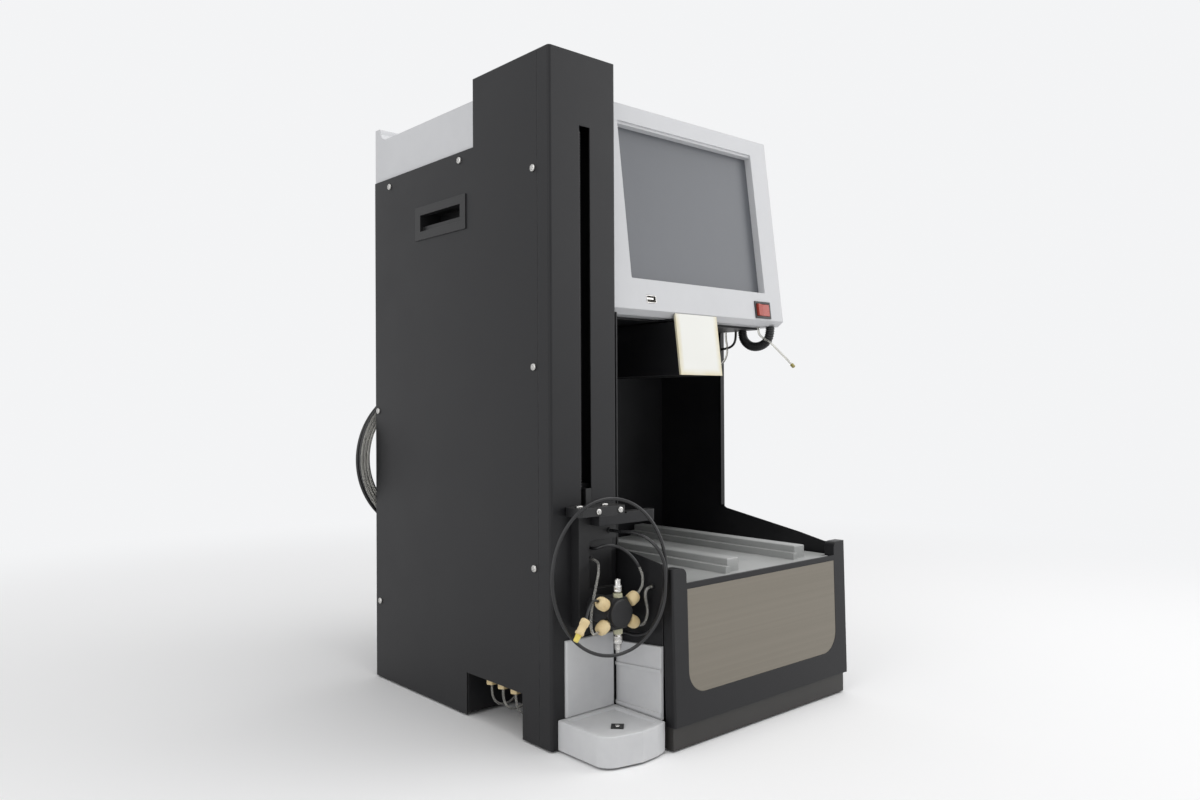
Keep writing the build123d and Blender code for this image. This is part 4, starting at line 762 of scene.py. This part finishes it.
VALVE_LINES = {
    "valve_tube_upper": (0.0884, [
        (44, -5.6, 189), (44, -14, 189), (50, -22, 193.5), (62, -29, 191), (73, -36, 180),
        (79.0, -41.5, 166), (79.6, -42, 156.5), (75.758, -42, 149.15),
        (70.995, -42, 146.4)]),
    "valve_tube_lower": (0.0914, [
        (46, -5.6, 178), (46, -14, 178), (40.5, -22.5, 172), (33, -28, 161),
        (26, -31.5, 148.5), (19.5, -35.5, 136.5), (14.8, -39.5, 126.5), (14.0, -42, 119.5),
        (17.475, -42, 115.5), (21.805, -42, 118.0)]),
    "valve_tube_side": (0.0524, [
        (70.995, -42, 118.0), (75.325, -42, 115.5), (79.3, -43.5, 117.2), (81.0, -45.5, 122.5),
        (80.4, -47.5, 129.5), (77.4, -49, 137.5), (74.6, -50, 144.6), (75.0, -50, 149.6),
        (78.4, -50, 153.0), (82.9, -50, 153.0)]),
}


def make_valve_lines():
    for name, (length, route) in VALVE_LINES.items():
        line = drawn_line(name + "_line", route, 1.3, finishes["clear"], "cabinet")
        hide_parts(name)


SLEEVE_SHARE = 0.6
SLEEVE_RADIUS = 1.65


def make_tube_sleeve():
    """Dark sleeve over the first part of the upper clear tube."""
    line = centre_line("sleeve_route", VALVE_LINES["valve_tube_upper"][1])
    curve = new_curve("tube_sleeve", "POLY", line[:int(SLEEVE_SHARE * len(line))])
    place_curve("tube_sleeve", curve, SLEEVE_RADIUS, 4, finishes["tube"], "cabinet")


def make_drain_button():
    build = bmesh.new()
    turned(build, facing(at(41.7, -45.9, 28.5), (0, 0, 1)),
           [(2.3, -0.6), (2.3, 0.0), (2.0, 0.5), (1.3, 0.8), (0.4, 0.9)], 32)
    add_mesh("drain_screw", build, finishes["steel"], "drip_tray")


WRAP_PITCH = 0.0022
WRAP_REACH = 0.00145
WRAP_WIRE = 0.28


def make_spiral_wrap():
    """Open spiral wound round the lower clear tube."""
    line = centre_line("wrap_route", VALVE_LINES["valve_tube_lower"][1])
    line = line[8:-40]
    points = []
    turns = 0.0
    for before, here, after in zip(line, line[1:], line[2:]):
        direction = (after - before).normalized()
        side = direction.cross(Vector((0, 1, 0))).normalized()
        other = direction.cross(side)
        turns += (after - here).length / WRAP_PITCH
        angle = 2 * math.pi * turns
        points.append(here + WRAP_REACH * (math.cos(angle) * side + math.sin(angle) * other))
    curve = new_curve("spiral_wrap", "POLY", points)
    place_curve("spiral_wrap", curve, WRAP_WIRE, 2, finishes["satin"], "cabinet",
                caps=False)


NICHE_YS = (70.5, 92.5, 112.5)


def niche_route(y):
    return [(10.5, y, 39), (10.5, y, 31), (13.5, y + 1, 22), (21, y + 3, 15),
            (32, y + 5, 12), (43, y + 6, 15), (50, y + 6, 24)]


def make_niche_lines():
    """Thin clear tubes that hang from the fittings in the foot notch."""
    lines = []
    for index, y in enumerate(NICHE_YS):
        route = niche_route(y)
        line = drawn_line("inlet_line_%d" % (index + 1), route, 1.2, finishes["clear"],
                          "cabinet")
        lines.append(line)
    for line in lines:
        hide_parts("niche_tubes")


LOOM_ROUTE = [(352, 17.0, 420.3), (352, 17.0, 411.5), (352, 22.5, 401.5),
              (352, 33.5, 397.0), (352, 46.0, 397.6), (352, 55.5, 403.5),
              (352, 60.0, 411.5), (352, 60.0, 420.3)]
LEAD_ROUTE = [(352, 70.5, 420.3), (352, 70.5, 410.0), (352, 73.5, 402.0),
              (352, 81.0, 398.0), (352, 91.0, 396.8), (352, 108.0, 396.0),
              (352, 140.0, 395.2), (352, 176.0, 395.6), (352, 213.0, 395.6)]
WASTE_ROUTE = [(343, 28.0, 420.3), (343, 28.0, 413.0), (344, 23.5, 407.5),
               (346, 14.4, 402.9), (349, 0.0, 388.4), (351.5, -9.0, 379.3),
               (352, -14.5, 373.7)]
COLLECT_ROUTE = [(346, 82.0, 420.3), (346, 82.0, 410.0), (346, 79.6, 399.5),
                 (346, 79.8, 389.5), (346, 84.0, 381.5), (346, 90.3, 376.7)]


def ribbed_tube(name, line, radius, depth, pitch, finish):
    """Corrugated sleeve along a centre line that lies in a plane across the cabinet."""
    build = bmesh.new()
    sides = 32
    fine = []
    for before, after in zip(line, line[1:]):
        pieces = max(1, int((after - before).length / 0.0003))
        fine += [before.lerp(after, step / pieces) for step in range(pieces)]
    fine.append(line[-1])
    across = Vector((1, 0, 0))
    travelled = 0.0
    rings = []
    for index, point in enumerate(fine):
        before = fine[max(0, index - 4)]
        after = fine[min(len(fine) - 1, index + 4)]
        along = (after - before).normalized()
        other = along.cross(across).normalized()
        if index:
            travelled += (point - fine[index - 1]).length
        wave = 0.5 - 0.5 * math.cos(2 * math.pi * travelled / (pitch / 1000))
        reach = (radius - depth * wave ** 1.6) / 1000
        rings.append([build.verts.new(point + reach * (math.cos(a) * across
                                                       + math.sin(a) * other))
                      for a in (2 * math.pi * k / sides for k in range(sides))])
    for low, high in zip(rings, rings[1:]):
        for step in range(sides):
            nxt = (step + 1) % sides
            face = build.faces.new((low[step], low[nxt], high[nxt], high[step]))
            face.smooth = True
    build.faces.new(list(reversed(rings[0])))
    build.faces.new(rings[-1])
    bmesh.ops.recalc_face_normals(build, faces=build.faces)
    return add_mesh(name, build, finish, "cabinet")


def make_hanging_lines():
    """Sleeve and tubes that hang below the display housing."""
    line = centre_line("loom_path", LOOM_ROUTE)
    sleeve = ribbed_tube("ribbed_cable_sleeve", line, 5.5, 0.8, 2.6, finishes["satin"])
    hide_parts("loom_loop")
    lead = drawn_line("housing_lead", LEAD_ROUTE, 1.5, finishes["tube"], "cabinet")
    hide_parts("loom_lead")
    waste = drawn_line("waste_line", WASTE_ROUTE, 1.3, finishes["clear"], "cabinet")
    build = bmesh.new()
    start = at(*WASTE_ROUTE[-1])
    toward = start - at(*WASTE_ROUTE[-2])
    turned(build, facing(start, toward), [(2.0, -0.2), (2.25, 0.0), (2.3, 0.8), (2.05, 1.2),
                                          (2.05, 1.9), (2.2, 2.3), (2.1, 3.4), (1.9, 4.3),
                                          (1.6, 4.4)], 40)
    tip = add_mesh("waste_line_tip", build, finishes["olive"], "cabinet")
    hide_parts("waste_tube")
    collect = drawn_line("collection_line", COLLECT_ROUTE, 1.3, finishes["clear"],
                         "cabinet")
    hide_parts("collect_tube")


PORT_NUT_END = (21.8, -42.0, 146.4)
PORT_TOP = (0.7, -50.0, 134.4)
PORT_TIP = (-12.2, -50.0, 116.7)


def make_port():
    """Syringe port that hangs from the upper left nut on its black stem."""
    route = [PORT_NUT_END, (16.6, -42.0, 149.4), (5.8, -46.6, 141.4), PORT_TOP]
    drawn_line("port_stem", route, 1.3, finishes["satin"], "cabinet")
    place = facing(at(*PORT_TOP), at(*PORT_TIP) - at(*PORT_TOP))
    build = bmesh.new()
    turned(build, place, [(2.6, 0.0), (3.5, 0.1), (4.2, 0.9), (4.4, 1.6), (4.4, 5.6),
                          (4.2, 6.1), (3.8, 6.6), (3.7, 7.2), (3.7, 11.8), (4.1, 12.6),
                          (4.2, 13.2), (4.2, 14.6), (3.9, 15.0), (2.9, 15.2)], 96,
           (3, 5, 20, 0.3))
    body = add_mesh("port_body", build, finishes["polymer"], "cabinet")
    build = bmesh.new()
    turned(build, place, [(2.8, 15.1), (2.9, 15.4), (2.85, 16.4), (2.6, 18.2), (2.45, 20.6),
                          (2.4, 21.7), (2.1, 22.0), (1.0, 22.0)], 48)
    tip = add_mesh("port_tip", build, finishes["yellow"], "cabinet")
    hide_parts("luer_port")
    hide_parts("luer_port")


COIL_MIDDLE_X = 77.0
COIL_MIDDLE_Z = 262.0
COIL_TURNS = 6
CLEAR_TURNS = 3
TURN_POINTS = 16
FIRST_TURN = -0.12
OUTER_RADIUS = 95.6
BLACK_SPACING = 4.9
CLEAR_SPACING = 4.2
REAR_LAYER = 358.6
FRONT_LAYER = 353.4


def coil_point(turn, radius, depth):
    a = 2 * math.pi * turn
    return (COIL_MIDDLE_X - radius * math.sin(a), depth, COIL_MIDDLE_Z - radius * math.cos(a))


def black_coil_route():
    """Line from the rear fitting, wound inward in one layer and outward in the next."""
    route = [(150, 352, 150), (150, 368, 150), (152, 380, 162), (156, 382, 180),
             (156, 372, 193), (151, 362, 198)]
    half = COIL_TURNS / 2
    for step in range(COIL_TURNS * TURN_POINTS + 1):
        wound = step / TURN_POINTS
        radius = OUTER_RADIUS - BLACK_SPACING * (wound if wound < half else COIL_TURNS - wound)
        radius += 0.15 * math.sin(8.7 * wound)
        change = min(1.0, max(0.0, (wound - half) / 0.3 + 0.5))
        depth = REAR_LAYER - (REAR_LAYER - FRONT_LAYER) * change + 0.25 * math.sin(5.3 * wound)
        route.append(coil_point(wound + FIRST_TURN, radius, depth))
    return route


def clear_coil_route():
    """Line from the black line's end, wound inward in front of it."""
    route = []
    for step in range(CLEAR_TURNS * TURN_POINTS):
        wound = step / TURN_POINTS
        depth = FRONT_LAYER - 6.2 * min(1.0, wound / 0.25) + 0.2 * math.sin(6 * wound)
        radius = OUTER_RADIUS - CLEAR_SPACING * wound
        route.append(coil_point(COIL_TURNS + FIRST_TURN + wound, radius, depth))
    route[0] = black_coil_route()[-1]
    return route


def make_coil():
    """Black and clear lines wound in one loose coil behind the cabinet."""
    route = black_coil_route()
    black = drawn_line("black_coil", route, 2.2, finishes["tube"], "cabinet",
                       6)
    build = bmesh.new()
    end = at(*route[-1])
    turned(build, facing(end, end - at(*route[-2])),
           [(2.3, -4.0), (3.0, -3.8), (3.0, -1.0), (2.4, -0.7), (2.4, 0.7), (3.0, 1.0),
            (3.0, 3.8), (1.8, 4.0)], 24)
    union = add_mesh("coil_union", build, finishes["satin"], "cabinet")
    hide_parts("coil_ring", "coil_lead")
    route = clear_coil_route()
    clear = drawn_line("clear_coil", route, 1.5, finishes["clear"], "cabinet",
                       6)


def main():
    set_camera()
    set_world()
    set_lamps()
    lay_floor()
    finish_nodes()
    make_side_screws()
    make_carriage_screws()
    make_finger_nuts()
    make_steel_fittings()
    make_sample_loop()
    make_valve_lines()
    make_tube_sleeve()
    make_spiral_wrap()
    make_drain_button()
    make_niche_lines()
    make_hanging_lines()
    make_port()
    make_coil()
    bpy.context.scene.view_settings.view_transform = "Standard"


finishes = make_finishes()
main()
